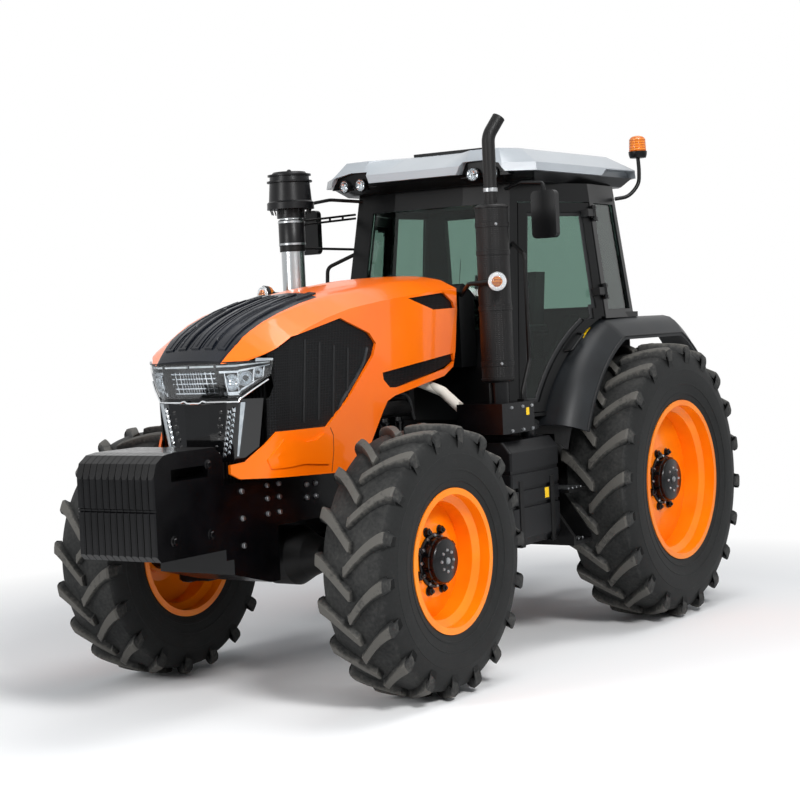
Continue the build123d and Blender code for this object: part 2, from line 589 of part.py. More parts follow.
# Side outlines as (x, z). Their front ends move with the nose, and their rear ends stay with the cab.
SIDE_OUTLINE = [(NOSE_X + 20, 1250), (NOSE_X - 40, 1205), (NOSE_X - 900, 1168), (NOSE_X - 990, 1250),
                (NOSE_X - 1160, 1480), (NOSE_X - 1204, 1530), (NOSE_X - 1280, 1556), (1660, 1640), (1560,
                                                                                                    1690),
                (1530, 1780), (1496, 2030), (1494, 2300), (NOSE_X + 20, 2300)]
OPENING = [(NOSE_X + 60, 1268), (NOSE_X - 70, 1292), (NOSE_X - 215, 1434), (NOSE_X - 630, 1430),
           (NOSE_X - 820, 1560),
           (NOSE_X - 1075, 1790), (NOSE_X - 1103, 1856), (NOSE_X - 1040, 1915), (NOSE_X - 767, 2003),
           (NOSE_X - 340, 1918), (NOSE_X - 190, 1850), (NOSE_X - 90, 1806), (NOSE_X + 60, 1790)]
REAR_VENT = [(NOSE_X - 1440, 2098), (1640, 2126), (1540, 2070), (1520, 2034), (1753, 2028)]
SIDE_SLOT = [(NOSE_X - 1160, 1690), (1560, 1768), (1548, 1722), (1640, 1682), (NOSE_X - 1310, 1600),
             (NOSE_X - 1230, 1604), (NOSE_X - 1170, 1650)]
INSERT_PLAN = [(NOSE_X + 40, 208), (NOSE_X - 120, 240), (NOSE_X - 460, 256), (NOSE_X - 805, 250),
               (NOSE_X - 860, 120),
               (NOSE_X - 875, 0)]
MESH_FRONT_X = NOSE_X - 180


def spread(outline, ends, by):
    """The same outline, moved outward from its middle, with each side stretched by a fixed amount."""
    x_mid = sum(x for x, z in outline) / len(outline)
    z_mid = sum(z for x, z in outline) / len(outline)
    moved = [(x + math.copysign(by, x - x_mid), z + math.copysign(by, z - z_mid)) for x, z in outline]
    return [(min(x, ends), z) for x, z in moved]


form = bonnet_form(0)
outline = slab_y(SIDE_OUTLINE, -500, 500)
skin = (form - bonnet_form(BONNET_WALL)) & outline
insert_plan = INSERT_PLAN + [(x, -y) for x, y in reversed(INSERT_PLAN[:-1])]
insert_cut = slab_z(insert_plan, LAMP_BASE + 88, 2300)
insert = skin & insert_cut
windows = [slab_y(OPENING, -500, 500), slab_y(REAR_VENT, -500, 500), slab_y(SIDE_SLOT, -500, 500)]
bonnet = skin - insert_cut
for window in windows:
    bonnet -= window
    insert -= window
raised = (bonnet_form(0, 9) - form) & outline
ears = []
for sign in (1, -1):
    y0, y1 = sorted((sign * 230, sign * 252))
    ear = slab_y([(BONNET_HINGE_X - 30, 2209), (BONNET_HINGE_X - 30, BONNET_HINGE_Z - 26),
                  (BONNET_HINGE_X + 30, BONNET_HINGE_Z - 26), (BONNET_HINGE_X + 90, 2209)], y0, y1)
    ear -= rod((BONNET_HINGE_X, -400, BONNET_HINGE_Z), (BONNET_HINGE_X, 400, BONNET_HINGE_Z),
               BONNET_HINGE_RADIUS + RUN_FIT)
    ears.append(ear)
big = max(bonnet.solids(), key=lambda s: s.volume)
bonnet = big.fuse(*ears)
put("bonnet", bonnet)
rib_bars = []
for count in range(5):
    y = (count - 2) * 88
    far = NOSE_X - 740 - 60 * abs(count - 2)
    rib_bars.append(box(far, NOSE_X - 60, y - 24, y + 24, 1750, 2300) & raised)
insert = max(insert.solids(), key=lambda s: s.volume).fuse(*[r for b in rib_bars for r in b.solids()])
put("bonnet_insert", insert)

def nose_block(bottom, top, low_z, high_z):
    """Block between a lower and an upper outline seen from above, mirrored about the middle."""
    lower = bottom + [(x, -y) for x, y in reversed(bottom)]
    upper = top + [(x, -y) for x, y in reversed(top)]
    wires = [Wire.make_polygon([(x, y, z) for x, y in points], close=True) for points,
             z in ((lower, low_z), (upper, high_z))]
    return Solid.make_loft(wires, True)


# Headlamp band, seen from above at its lower and upper edges
LAMP_LOW = [(NOSE_X - 32, 60), (NOSE_X - 45, 205), (NOSE_X - 75, 262), (NOSE_X - 170, 372),
            (NOSE_X - 220, 372),
            (NOSE_X - 120, 240), (NOSE_X - 115, 60)]
LAMP_HIGH = [(NOSE_X + 18, 60), (NOSE_X + 4, 205), (NOSE_X - 40, 285), (NOSE_X - 178, 420),
             (NOSE_X - 225, 420),
             (NOSE_X - 115, 250), (NOSE_X - 100, 60)]
band = nose_block(LAMP_LOW, LAMP_HIGH, LAMP_BASE, LAMP_TOP)
corner_outline = [(268, LAMP_BASE - 10), (450, LAMP_BASE - 10), (450, LAMP_BASE + 150), (268, LAMP_BASE + 8)]
corner = slab_x(corner_outline, NOSE_X - 260, NOSE_X + 60)
corners = corner.fuse(mirrored(corner))
inner_form = bonnet_form(BONNET_WALL + SEAT_FIT)
headlamp = band - corners - bonnet - insert
put("headlamps", max(headlamp.solids(), key=lambda s: s.volume))
layer = inner_form - bonnet_form(BONNET_WALL + SEAT_FIT + 10)
panels = []
for points, front_end in ((OPENING, MESH_FRONT_X), (REAR_VENT, NOSE_X), (SIDE_SLOT, NOSE_X)):
    cover = layer & slab_y(spread(points, front_end, 14), -500, 500)
    cover -= box(1000, NOSE_X + 500, -340, 340, 1000, 2400)
    cover -= band
    panels.extend(s for s in cover.solids() if s.volume > 5000)
put("bonnet_mesh", *panels)

# The nose panel fills the front under the headlamps, and its cheeks fill the corners under their raised ends.
NOSE_LOW = [(NOSE_X - 52, 80), (NOSE_X - 58, 150), (NOSE_X - 88, 205), (NOSE_X - 160, 300),
            (MESH_FRONT_X + 1, 292),
            (NOSE_X - 120, 180), (NOSE_X - 95, 80)]
NOSE_HIGH = [(NOSE_X - 46, 80), (NOSE_X - 56, 200), (NOSE_X - 86, 256), (NOSE_X - 165, 352),
             (MESH_FRONT_X + 1, 345),
             (NOSE_X - 120, 230), (NOSE_X - 95, 80)]
panel = nose_block(NOSE_LOW, NOSE_HIGH, 1290, LAMP_BASE - SEAT_FIT)
cheek = band & slab_x([(y + 6, z - 4) for y, z in corner_outline], MESH_FRONT_X + 1, NOSE_X + 60)
cheek = Pos(-12, 0, 0) * cheek & box(MESH_FRONT_X + 1, NOSE_X, 0, 500, LAMP_BASE - 1, LAMP_TOP)
panel = panel.fuse(cheek, mirrored(cheek)) & inner_form
put("grille", max(panel.solids(), key=lambda s: s.volume))

cowl = slab_y([(BONNET_GAP_X, 1680), (BONNET_GAP_X, 2128), (BONNET_GAP_X - 24, 2165), (1400, 2176),
               (1290, 2110),
               (1290, 1680)], -405, 405)
pin = rod((BONNET_HINGE_X, -275, BONNET_HINGE_Z), (BONNET_HINGE_X, 275, BONNET_HINGE_Z), BONNET_HINGE_RADIUS)
for sign in (1, -1):
    for at in (215, 267):
        y0, y1 = sorted((sign * (at - 8), sign * (at + 8)))
        cowl += slab_y([(BONNET_GAP_X - 5, BONNET_HINGE_Z - 90), (BONNET_HINGE_X + 18, BONNET_HINGE_Z - 20),
                        (BONNET_HINGE_X + 18, BONNET_HINGE_Z + 8), (BONNET_HINGE_X - 12, BONNET_HINGE_Z + 12),
                        (BONNET_HINGE_X - 50, BONNET_HINGE_Z - 26), (BONNET_GAP_X - 5,
                                                                     BONNET_HINGE_Z - 46)], y0, y1)
cowl -= cab_form(-SEAT_FIT, 1600, 2300)
put("cowl", cowl + pin)

# ---------------------------------------------------------------- cab
# The cab's sides lean inward towards the roof. Doors hang on the middle pillars and close on the front ones.


def wheel_arch(radius_up, half_from):
    """Space over one rear wheel, up to the fender's crown, outside the cab's tub."""
    crown = REAR_Z + FENDER_FLAT + SEAT_FIT
    round_part = Pos(0, half_from + 300, REAR_Z) * Rot(90, 0, 0) * Cylinder(radius_up, 600)
    return round_part & box(-1500, 1500, half_from, half_from + 600, 400, crown)


shell = cab_form(0, CAB_FLOOR_Z, CAB_TOP_Z) - cab_form(CAB_WALL, CAB_FLOOR_Z - 1, CAB_TOP_Z + 1)
front_x = 1080 + (CAB_TOP_Z - CAB_FLOOR_Z) * FRONT_LEAN
screen_cut = slab_x([(-470, 1900), (470, 1900), (430, 2655), (-430, 2655)], 900, 1500)
a_low = front_x - 20
a_high = 1080 + 10
DOOR_OUTLINE = [(a_low - 60, CAB_FLOOR_Z + 20), (a_high - 60, CAB_TOP_Z - 40),
                (DOOR_HINGE_X + 6, CAB_TOP_Z - 40),
                (DOOR_HINGE_X + 6, CAB_FLOOR_Z + 20)]


def shrink(outline, by):
    """A four-cornered outline drawn in by a fixed gap."""
    x_mid = sum(x for x, z in outline) / len(outline)
    z_mid = sum(z for x, z in outline) / len(outline)
    return [(x - math.copysign(by, x - x_mid), z - math.copysign(by, z - z_mid)) for x, z in outline]


def hinge(z):
    """One door hinge: the door's strap and knuckle, and the pillar's strap, ears and pin."""
    y = side_y(DOOR_HINGE_X, z) + HINGE_STAND_OFF
    local = Plane(origin=(DOOR_HINGE_X, y, z), x_dir=(1, 0, 0), z_dir=(0, -SIDE_LEAN, 1))
    knuckle = Cylinder(HINGE_RADIUS, 50) + Pos(42, -3, 0) * Box(84, 18, 46) + Pos(66, -32, 0) * Box(34, 44,
                                                                                                    46)
    knuckle -= Cylinder(HINGE_PIN + RUN_FIT, 60)
    ears = Cylinder(HINGE_PIN, 84)
    for end in (37, -37):
        ears += Pos(0, 0, end) * Cylinder(HINGE_RADIUS, 22) + Pos(-25, -22, end) * Box(48, 36, 22)
    return local * knuckle, local * ears


tyre_space = wheel_arch(FENDER_INNER_RADIUS + 1, FENDER_INNER_Y)
door_space = wheel_arch(FENDER_INNER_RADIUS + DOOR_GAP + 12, FENDER_INNER_Y) + box(-1500, DOOR_HINGE_X + 40,
                                                                                   FENDER_INNER_Y, 1500, 400,
                                                                   REAR_Z + FENDER_FLAT + DOOR_GAP + 6)
door_hole = slab_y(DOOR_OUTLINE, -1500, 1500)
quarter = [(DOOR_HINGE_X - 60, 2655), (CAB_REAR_X + 45, 2655), (CAB_REAR_X + 5, 1985),
           (DOOR_HINGE_X - 60, 1985)]
rear_hole = box(-400, 200, -560, 560, REAR_GLASS_BASE + 10, REAR_GLASS_TOP - 10)
frame = shell - screen_cut - door_hole - slab_y(quarter, -1500, 1500) - rear_hole
frame -= tyre_space
frame -= mirrored(tyre_space)
floor_plan = [(front_x - 10, 240), (front_x - 40, side_y(front_x, CAB_FLOOR_Z) - 20),
              (1000, FENDER_INNER_Y - SEAT_FIT),
              (-250, FENDER_INNER_Y - SEAT_FIT)]
floor_plan = floor_plan + [(x, -y) for x, y in reversed(floor_plan)]
floor = slab_z(floor_plan, CAB_FLOOR_Z - CAB_FLOOR_WALL, CAB_FLOOR_Z + 1)
tub = []
for sign in (1, -1):
    y0, y1 = sorted((sign * (FENDER_INNER_Y - 30), sign * (FENDER_INNER_Y - SEAT_FIT)))
    plate = slab_y([(1000, CAB_FLOOR_Z - 20), (980, 1450), (800, 1750), (560, REAR_Z + FENDER_FLAT + 30),
                    (-250, REAR_Z + FENDER_FLAT + 30), (-250, CAB_FLOOR_Z - 20)], y0, y1)
    tub.append(plate)
tub.append(box(-250, -215, -FENDER_INNER_Y + 1, FENDER_INNER_Y - 1, CAB_FLOOR_Z - 20,
               REAR_Z + FENDER_FLAT + 30))
for sign in (1, -1):
    y0, y1 = sorted((sign * (FENDER_INNER_Y - 30), sign * 815))
    tub.append(box(-60, DOOR_HINGE_X - 2, y0, y1, REAR_Z + FENDER_FLAT + SEAT_FIT, REAR_Z + FENDER_FLAT + 34))
tub.append(box(-250, 0, -FENDER_INNER_Y + 1, FENDER_INNER_Y - 1, REAR_Z + FENDER_FLAT + 10,
               REAR_Z + FENDER_FLAT + 34))
for sign in (1, -1):
    y0, y1 = sorted((sign * 100, sign * 180))
    tub.append(box(1000, 1100, y0, y1, 1230 + SEAT_FIT, CAB_FLOOR_Z - CAB_FLOOR_WALL + 1))
    y0, y1 = sorted((sign * 380, sign * 460))
    tub.append(box(-50, 50, y0, y1, REAR_Z + 132, CAB_FLOOR_Z - CAB_FLOOR_WALL + 1))
roof_rail = cab_form(0, CAB_TOP_Z - 1, ROOF_BASE_Z - SEAT_FIT)
cab = frame.fuse(floor, *tub, roof_rail)
door_hinges = [hinge(z) for z in DOOR_HINGE_HEIGHTS]
cab = cab.fuse(*[part for _, part in door_hinges], *[mirrored(part) for _, part in door_hinges])
for sign in (1, -1):
    y0, y1 = sorted((sign * 310, sign * 420))
    cab += rod((REAR_HINGE_X, y0, REAR_HINGE_Z), (REAR_HINGE_X, y1, REAR_HINGE_Z), HINGE_PIN)
    for ear_y0, ear_y1 in ((310, 326), (404, 420)):
        y0, y1 = sorted((sign * ear_y0, sign * ear_y1))
        cab += box(REAR_HINGE_X - 12, CAB_REAR_X + 5, y0, y1, REAR_HINGE_Z - 14, REAR_HINGE_Z + 14)
put("cab_frame", max(cab.solids(), key=lambda s: s.volume))

def beside_arch(angle, out):
    """Point on the door's edge band over the wheel, by its angle round the axle, and some way out from the door."""
    turn = math.radians(angle)
    reach = FENDER_INNER_RADIUS + DOOR_GAP + 38
    x = reach * math.cos(turn)
    z = REAR_Z + reach * math.sin(turn)
    return (x, side_y(x, z) + out, z)


skin_door = cab_form(0, CAB_FLOOR_Z, CAB_TOP_Z) - cab_form(DOOR_WALL, CAB_FLOOR_Z - 1, CAB_TOP_Z + 1)
door_edge = slab_y(shrink(DOOR_OUTLINE, DOOR_GAP), 300, 1500)
door = (skin_door & door_edge) - door_space
window_outline = shrink(DOOR_OUTLINE, DOOR_GAP + 58)
window_space = wheel_arch(FENDER_INNER_RADIUS + DOOR_GAP + 65, FENDER_INNER_Y - 200) + box(
    -1500, DOOR_HINGE_X + 100, FENDER_INNER_Y - 200, 1500, 400, REAR_Z + FENDER_FLAT + DOOR_GAP + 60)
window = slab_y(window_outline, 300, 1500) - window_space
door_frame = door - window
pane_skin = cab_form(13, CAB_FLOOR_Z, CAB_TOP_Z) - cab_form(13 + GLASS, CAB_FLOOR_Z - 1, CAB_TOP_Z + 1)
pane = pane_skin & window & slab_y(shrink(DOOR_OUTLINE, DOOR_GAP + 59), 300, 1500)
door_frame = max(door_frame.solids(), key=lambda s: s.volume)
door_frame += pipe([beside_arch(46.2, -9), beside_arch(46.8, 45), beside_arch(53.6, 45),
                    beside_arch(54.2, -9)], 9, [18, 18])
for door_part, _ in door_hinges:
    door_frame += door_part
pane = max(pane.solids(), key=lambda s: s.volume)
put("door_left", door_frame)
put("door_left_glass", pane)
put("door_right", mirrored(door_frame))
put("door_right_glass", mirrored(pane))

# ---------------------------------------------------------------- cab glass, rear window, roof
glass_form = cab_form(14, CAB_FLOOR_Z, CAB_TOP_Z) - cab_form(14 + GLASS, CAB_FLOOR_Z - 1, CAB_TOP_Z + 1)
screen = glass_form & slab_x([(-469, 1901), (469, 1901), (429, 2654), (-429, 2654)], 900, 1500)
quarter_left = glass_form & slab_y([(DOOR_HINGE_X - 61, 2654), (CAB_REAR_X + 46, 2654),
                                    (CAB_REAR_X + 6, 1986),
                                    (DOOR_HINGE_X - 61, 1986)], 300, 1500)
screen = max(screen.solids(), key=lambda s: s.volume)
quarter_left = max(quarter_left.solids(), key=lambda s: s.volume)
put("cab_glass", screen, quarter_left, mirrored(quarter_left))

glass_low = CAB_REAR_X - (CAB_TOP_Z - REAR_GLASS_BASE) * 0.06
glass_high = CAB_REAR_X - (CAB_TOP_Z - REAR_GLASS_TOP) * 0.06
rear_window = slab_y([(glass_low - 24, REAR_GLASS_BASE), (glass_high - 24, REAR_GLASS_TOP),
                      (glass_high - 8, REAR_GLASS_TOP),
                      (glass_low - 8, REAR_GLASS_BASE)], -575, 575)
for sign in (1, -1):
    y0, y1 = sorted((sign * 330, sign * 400))
    rear_window += rod((REAR_HINGE_X, y0, REAR_HINGE_Z), (REAR_HINGE_X, y1, REAR_HINGE_Z), 13)
    rear_window += box(REAR_HINGE_X - 10, REAR_HINGE_X + 6, y0, y1, REAR_GLASS_TOP - 30, REAR_HINGE_Z)
    rear_window -= rod((REAR_HINGE_X, -450, REAR_HINGE_Z), (REAR_HINGE_X, 450, REAR_HINGE_Z),
                       HINGE_PIN + RUN_FIT)
put("rear_window", rear_window)

ROOF_PLAN = [(1300, 200), (1296, 380), (1270, 620), (1120, 775), (-200, 775), (-290, 690), (-300, 300)]
ROOF_MID = [(1292, 200), (1290, 380), (1262, 620), (1110, 770), (-192, 770), (-282, 685), (-292, 300)]
ROOF_SHOULDER = [(1060, 200), (1205, 370), (1185, 560), (1000, 615), (-90, 615), (-160, 540), (-170, 300)]
ROOF_CROWN = [(900, 180), (950, 320), (940, 460), (880, 500), (-20, 500), (-70, 430), (-80, 250)]


def tier(plans, heights):
    """Block lofted through outlines seen from above, each mirrored about the middle."""
    wires = []
    for plan, z in zip(plans, heights):
        full = plan + [(x, -y) for x, y in reversed(plan)]
        wires.append(Wire.make_polygon([(x, y, z) for x, y in full], close=True))
    return Solid.make_loft(wires, True)


split_z = ROOF_BASE_Z + ROOF_SPLIT
roof = tier([ROOF_PLAN, ROOF_MID], [split_z, split_z + 50])
roof += tier([ROOF_MID, ROOF_SHOULDER], [split_z + 50, ROOF_TOP_Z - 22])
roof += tier([ROOF_SHOULDER, ROOF_CROWN], [ROOF_TOP_Z - 22, ROOF_TOP_Z])
lamp_z = ROOF_BASE_Z + ROOF_LAMP_RISE
lamp_places = [(1215 - y * 0.05, 1282 - y * 0.06, sign * y) for y in (412, 540) for sign in (1, -1)]
ARCH = [(310, split_z - 20), (352, split_z + 72), (480, split_z + 76), (600, split_z + 52),
        (650, split_z - 20)]
brim_low = [(1150, 300), (1120, 560), (1000, 690), (-120, 700), (-200, 640), (-210, 300)]
brim_high = [(1262, 300), (1232, 600), (1090, 745), (-190, 745), (-270, 665), (-280, 300)]
brim = tier([brim_low, brim_high], [ROOF_BASE_Z, split_z - SEAT_FIT])
RECESS = [(-215, split_z - 1), (-200, split_z + 45), (215, split_z + 43), (290, split_z - 1)]
for sign in (1, -1):
    arch = slab_x([(sign * y, z) for y, z in ARCH], 1170, 1400)
    housing = slab_x([(sign * y, z) for y, z in ARCH], 1170 + SEAT_FIT, 1228)
    roof -= arch
    brim += Pos(0, 0, -SEAT_FIT) * housing
    y0, y1 = sorted((sign * 700, sign * 800))
    roof -= slab_y(RECESS, y0, y1)
for x0, x1, y in lamp_places:
    brim -= rod((x0 - SEAT_FIT, y, lamp_z), (1400, y, lamp_z), ROOF_LAMP_RADIUS + SEAT_FIT)
put("roof_shell", roof)
hatch = box(150, 880, -250, 250, ROOF_TOP_Z + SEAT_FIT, ROOF_TOP_Z + 22)
put("roof_brim", brim, hatch)

# ---------------------------------------------------------------- fenders
def arch_wire(radius, y):
    """Closed section of a fender skin at one distance from the middle."""
    points = []
    corner_a = math.degrees(math.asin(FENDER_FLAT / FENDER_INNER_RADIUS))
    corner_b = 180 - corner_a
    start = FENDER_START
    end = FENDER_END
    def at(angle, r):
        turn = math.radians(angle)
        return (r * math.cos(turn), y, REAR_Z + r * math.sin(turn))
    inner = radius - FENDER_WALL
    def arc(r, a0, a1):
        return Edge.make_three_point_arc(at(a0, r), at((a0 + a1) / 2, r), at(a1, r))
    edges = [arc(radius, start, corner_a), Edge.make_line(at(corner_a, radius), at(corner_b, radius)),
             arc(radius, corner_b, end), Edge.make_line(at(end, radius), at(end, inner)),
             arc(inner, end, corner_b), Edge.make_line(at(corner_b, inner), at(corner_a, inner)),
             arc(inner, corner_a, start), Edge.make_line(at(start, inner), at(start, radius))]
    return Wire(edges)


fender = None
# Each band edge: distance from the middle, drop below the fender's crown
FENDER_BANDS = [(FENDER_INNER_Y, 0), (800, 0), (850, 14), (890, 42), (925, 85), (FENDER_OUTER_Y, 130)]
bands = [(y, FENDER_INNER_RADIUS - drop) for y, drop in FENDER_BANDS]
for near, far in zip(bands, bands[1:]):
    part = Solid.make_loft([arch_wire(near[1], near[0]), arch_wire(far[1], far[0])], True)
    fender = part if fender is None else fender + part
put("fenders", fender, mirrored(fender))

# ---------------------------------------------------------------- exhaust, air stack
muffler = rod((MUFFLER_X, MUFFLER_Y, MUFFLER_BASE), (MUFFLER_X, MUFFLER_Y, MUFFLER_TOP), MUFFLER_RADIUS)
muffler = chamfer(muffler.edges().filter_by(GeomType.CIRCLE), 12)
tail_path = FilletPolyline((MUFFLER_X, MUFFLER_Y, MUFFLER_TOP - 5), (MUFFLER_X, MUFFLER_Y, MUFFLER_TOP + 395),
                           (MUFFLER_X - 62, MUFFLER_Y + 40, MUFFLER_TOP + 503), radius=120)
tail = sweep(Plane(origin=(MUFFLER_X, MUFFLER_Y, MUFFLER_TOP - 5), z_dir=(0, 0, 1)) * Circle(TAIL_RADIUS),
             path=tail_path)
put("muffler", muffler + tail)
bracket_top = MUFFLER_BASE - SEAT_FIT
bracket = box(1400, 1760, 545, 850, 1300, BOX_TOP)
bracket += rod((MUFFLER_X, MUFFLER_Y, BOX_TOP - 5), (MUFFLER_X, MUFFLER_Y, bracket_top), 60)
bracket += box(1705, 1755, 205, 560, 1310, 1360)
bracket += box(1705, 1755, 205, 250, FRAME_TOP + SEAT_FIT, 1360)
put("exhaust_bracket", bracket)
pipe_start = (1810, 240, ENGINE_TOP - 200)
pipe_path = FilletPolyline(pipe_start, (1765, 330, ENGINE_TOP - 240), (1725, 430, ENGINE_TOP - 288),
                           (1700, 560, BOX_TOP - 45), radius=60)
hot_pipe = sweep(Plane(origin=pipe_start, z_dir=(-45, 90, -40)) * Circle(30), path=pipe_path)
hot_pipe -= box(1390, 1770, 545 - SEAT_FIT, 860, BOX_TOP - 185, BOX_TOP + 1)
hot_pipe -= box(1700, 1900, 0, ENGINE_HALF + SEAT_FIT, 1300, 1900)
put("exhaust_pipe", hot_pipe)
stack = rod((STACK_X, STACK_Y, BOX_TOP + SEAT_FIT), (STACK_X, STACK_Y, 2640), STACK_RADIUS)
stack += rod((STACK_X, STACK_Y, BOX_TOP + 95), (1790, -240, BOX_TOP + 95), 48)
stack -= box(1700, 1900, -ENGINE_HALF - SEAT_FIT, 0, 1300, 1900)
stack -= box(ENGINE_REAR_X - 50, 1900, -ENGINE_HALF - SEAT_FIT, 0, 1300, 1900)
put("intake_stack", stack)
bowl = Pos(STACK_X, STACK_Y, 0) * revolve(Face(Wire.make_polygon(
    [(0, 0, 2640 + SEAT_FIT), (88, 0, 2640 + SEAT_FIT), (88, 0, 2690), (146, 0, 2700), (146, 0, 2735),
     (134, 0, 2745),
     (122, 0, 2900), (100, 0, 2925), (0, 0, 2925)], close=True)), axis=Axis.Z)
put("precleaner", bowl)

# ---------------------------------------------------------------- tank, battery box, steps
tank = slab_x([(350, 640), (820, 640), (850, 690), (850, 1190), (800, 1250), (350, 1250)], 1130, 1690)
tank = fillet(tank.edges().filter_by(lambda edge: edge.center().Y > 800), 16)
for z in (860, 960, 1060):
    tank -= box(1120, 1700, 835, 900, z, z + 22)
    tank -= box(1675, 1700, 300, 900, z, z + 22)
tank += rod((1270, 720, 1240), (1288, 743, 1322), 48)
tank += rod((1286, 741, 1315), (1292, 749, 1345), 62)
put("fuel_tank", tank)
battery = slab_x([(350, 640), (820, 640), (850, 690), (850, 1150), (820, 1180), (350, 1180)], 1130, 1690)
battery += box(1400, 1690, 545, 850, 1179, BOX_TOP)
put("battery_box", mirrored(battery))
step = box(900, 1110, 620, 930, 590, 612) + box(900, 1110, 620, 900, 900, 922)
for x0, x1 in ((900, 912), (1098, 1130 - SEAT_FIT)):
    step += slab_x([(620, 590), (930, 590), (930, 640), (700, 950), (700, 1240), (620, 1240)], x0, x1)
put("steps", step, mirrored(step))

# ---------------------------------------------------------------- lamps, mirrors, rails, beacon
lamps = [rod((x0, y, lamp_z), (x1, y, lamp_z), ROOF_LAMP_RADIUS) for x0, x1, y in lamp_places]
signals = []
for sign in (1, -1):
    signals.append(rod((SIGNAL_X - 26, sign * SIGNAL_Y, SIGNAL_Z),
                       (SIGNAL_X + 26, sign * SIGNAL_Y, SIGNAL_Z), 55))
lamps.extend(signals)
TAIL_LAMP_ANGLE = math.radians(126)
tail_reach = FENDER_INNER_RADIUS + SEAT_FIT + 20
tail_x = tail_reach * math.cos(TAIL_LAMP_ANGLE)
tail_z = REAR_Z + tail_reach * math.sin(TAIL_LAMP_ANGLE)
for sign in (1, -1):
    seat_plane = Plane(origin=(tail_x, sign * 735, tail_z), x_dir=(0, 1, 0),
                       z_dir=(math.cos(TAIL_LAMP_ANGLE), 0, math.sin(TAIL_LAMP_ANGLE)))
    tail_lamp = seat_plane * Box(110, 60, 40)
    lamps.append(tail_lamp)
put("lamps", *lamps)
mirror_arm = pipe([(1050, 500, 2735), (1190, 700, 2760), (1200, 860, 2745), (1200, 865, 2680)], 11, [60, 20])
mirror_head = box(1178, 1222, 785, 950, 2420, 2700)
mirror_head = fillet(mirror_head.edges().filter_by(Axis.X), 30)
left_mirror = mirror_head + mirror_arm - cab_form(-SEAT_FIT, 2000, 2790)
put("mirrors", left_mirror, mirrored(left_mirror))
rail = pipe([(1090, 560, 2420), (1215, 725, 2330), (1250, 745, 1700), (1425, 790, BOX_TOP + 45),
             (1425, 790, BOX_TOP - 20)], 12,
            [50, 60, 30])
rail -= cab_form(-SEAT_FIT, 2000, 2790)
rail -= box(1300, 1500, 700, 900, 1400, BOX_TOP + SEAT_FIT)
rail += box(1403, 1447, 768, 812, BOX_TOP + SEAT_FIT, BOX_TOP + 12)
signal_arm = pipe([(1425, 405 + SEAT_FIT, 2110), (1500, 470, 2130), (1690, 620, 2165),
                   (SIGNAL_X - 16, SIGNAL_Y - 58, SIGNAL_Z)],
                  13, [40, 60])
signal_arm += rod((SIGNAL_X - 16, SIGNAL_Y - 62, SIGNAL_Z),
                  (SIGNAL_X - 16, SIGNAL_Y - 55 - SEAT_FIT, SIGNAL_Z), 18)
signal_arm -= box(1200, 1460, 300, 405 + SEAT_FIT, 1680, 2190)
CLAMP_Z = 2610
clamp = Pos(STACK_X, STACK_Y, CLAMP_Z) * (Cylinder(STACK_RADIUS + 8, 36) - Cylinder(STACK_RADIUS + SEAT_FIT,
                                                                                    40))
strap = clamp
for rise in (-12, 12):
    strap += rod((STACK_X - 60, STACK_Y + 52, CLAMP_Z + rise), (1060, -600, CLAMP_Z + 40 + rise), 7)
for share in (0.25, 0.5, 0.75):
    x = STACK_X - 60 + (1060 - STACK_X + 60) * share
    y = STACK_Y + 52 + (-600 - STACK_Y - 52) * share
    strap += box(x - 5, x + 5, y - 5, y + 5, CLAMP_Z + 40 * share - 16, CLAMP_Z + 40 * share + 16)
strap -= cab_form(-SEAT_FIT, 2000, 2790)
stay = Pos(0, 0, -160) * clamp
stay += rod((STACK_X - 60, STACK_Y + 52, CLAMP_Z - 160), (1060, -600, CLAMP_Z - 170),
            8) - cab_form(-SEAT_FIT, 2000, 2790)
put("handrails", rail, mirrored(rail), signal_arm, mirrored(signal_arm), strap, stay)
beacon_pipe = pipe([(40, 720, 2700), (-30, 850, 2735), (-80, 850, 2780), (-80, 850, 2960)], 11, [30, 30])
beacon = beacon_pipe + rod((-80, 850, 2955), (-80, 850, 2985), 66) + rod((-80, 850, 2980), (-80, 850, 3095),
                                                                         58)
beacon -= cab_form(-SEAT_FIT, 2000, 2790)
put("beacon", beacon)

# ---------------------------------------------------------------- seat and controls
seat = box(250, 650, -220, 220, CAB_FLOOR_Z + 1 + SEAT_FIT, 1560) + box(200, 700, -250, 250, 1560, 1680)
seat += slab_y([(200, 1600), (320, 1600), (230, 2250), (110, 2250)], -230, 230)
put("seat", seat)
console = slab_y([(1130, CAB_FLOOR_Z + 1 + SEAT_FIT), (1230, CAB_FLOOR_Z + 1 + SEAT_FIT), (1180, 1880),
                  (980, 1900), (1000, 1800)], -190, 190)
column = rod((1060, 0, 1850), (882, 0, 2049), 32)
tilt = Plane(origin=(880, 0, 2050), z_dir=(-0.667, 0, 0.745))
wheel_ring = tilt * Torus(190, 14)
spoke = tilt * Box(380, 30, 14)
put("console", console + column + wheel_ring + spoke)
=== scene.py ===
import math

import bmesh
import bpy
from mathutils import Matrix, Vector
from mathutils.bvhtree import BVHTree


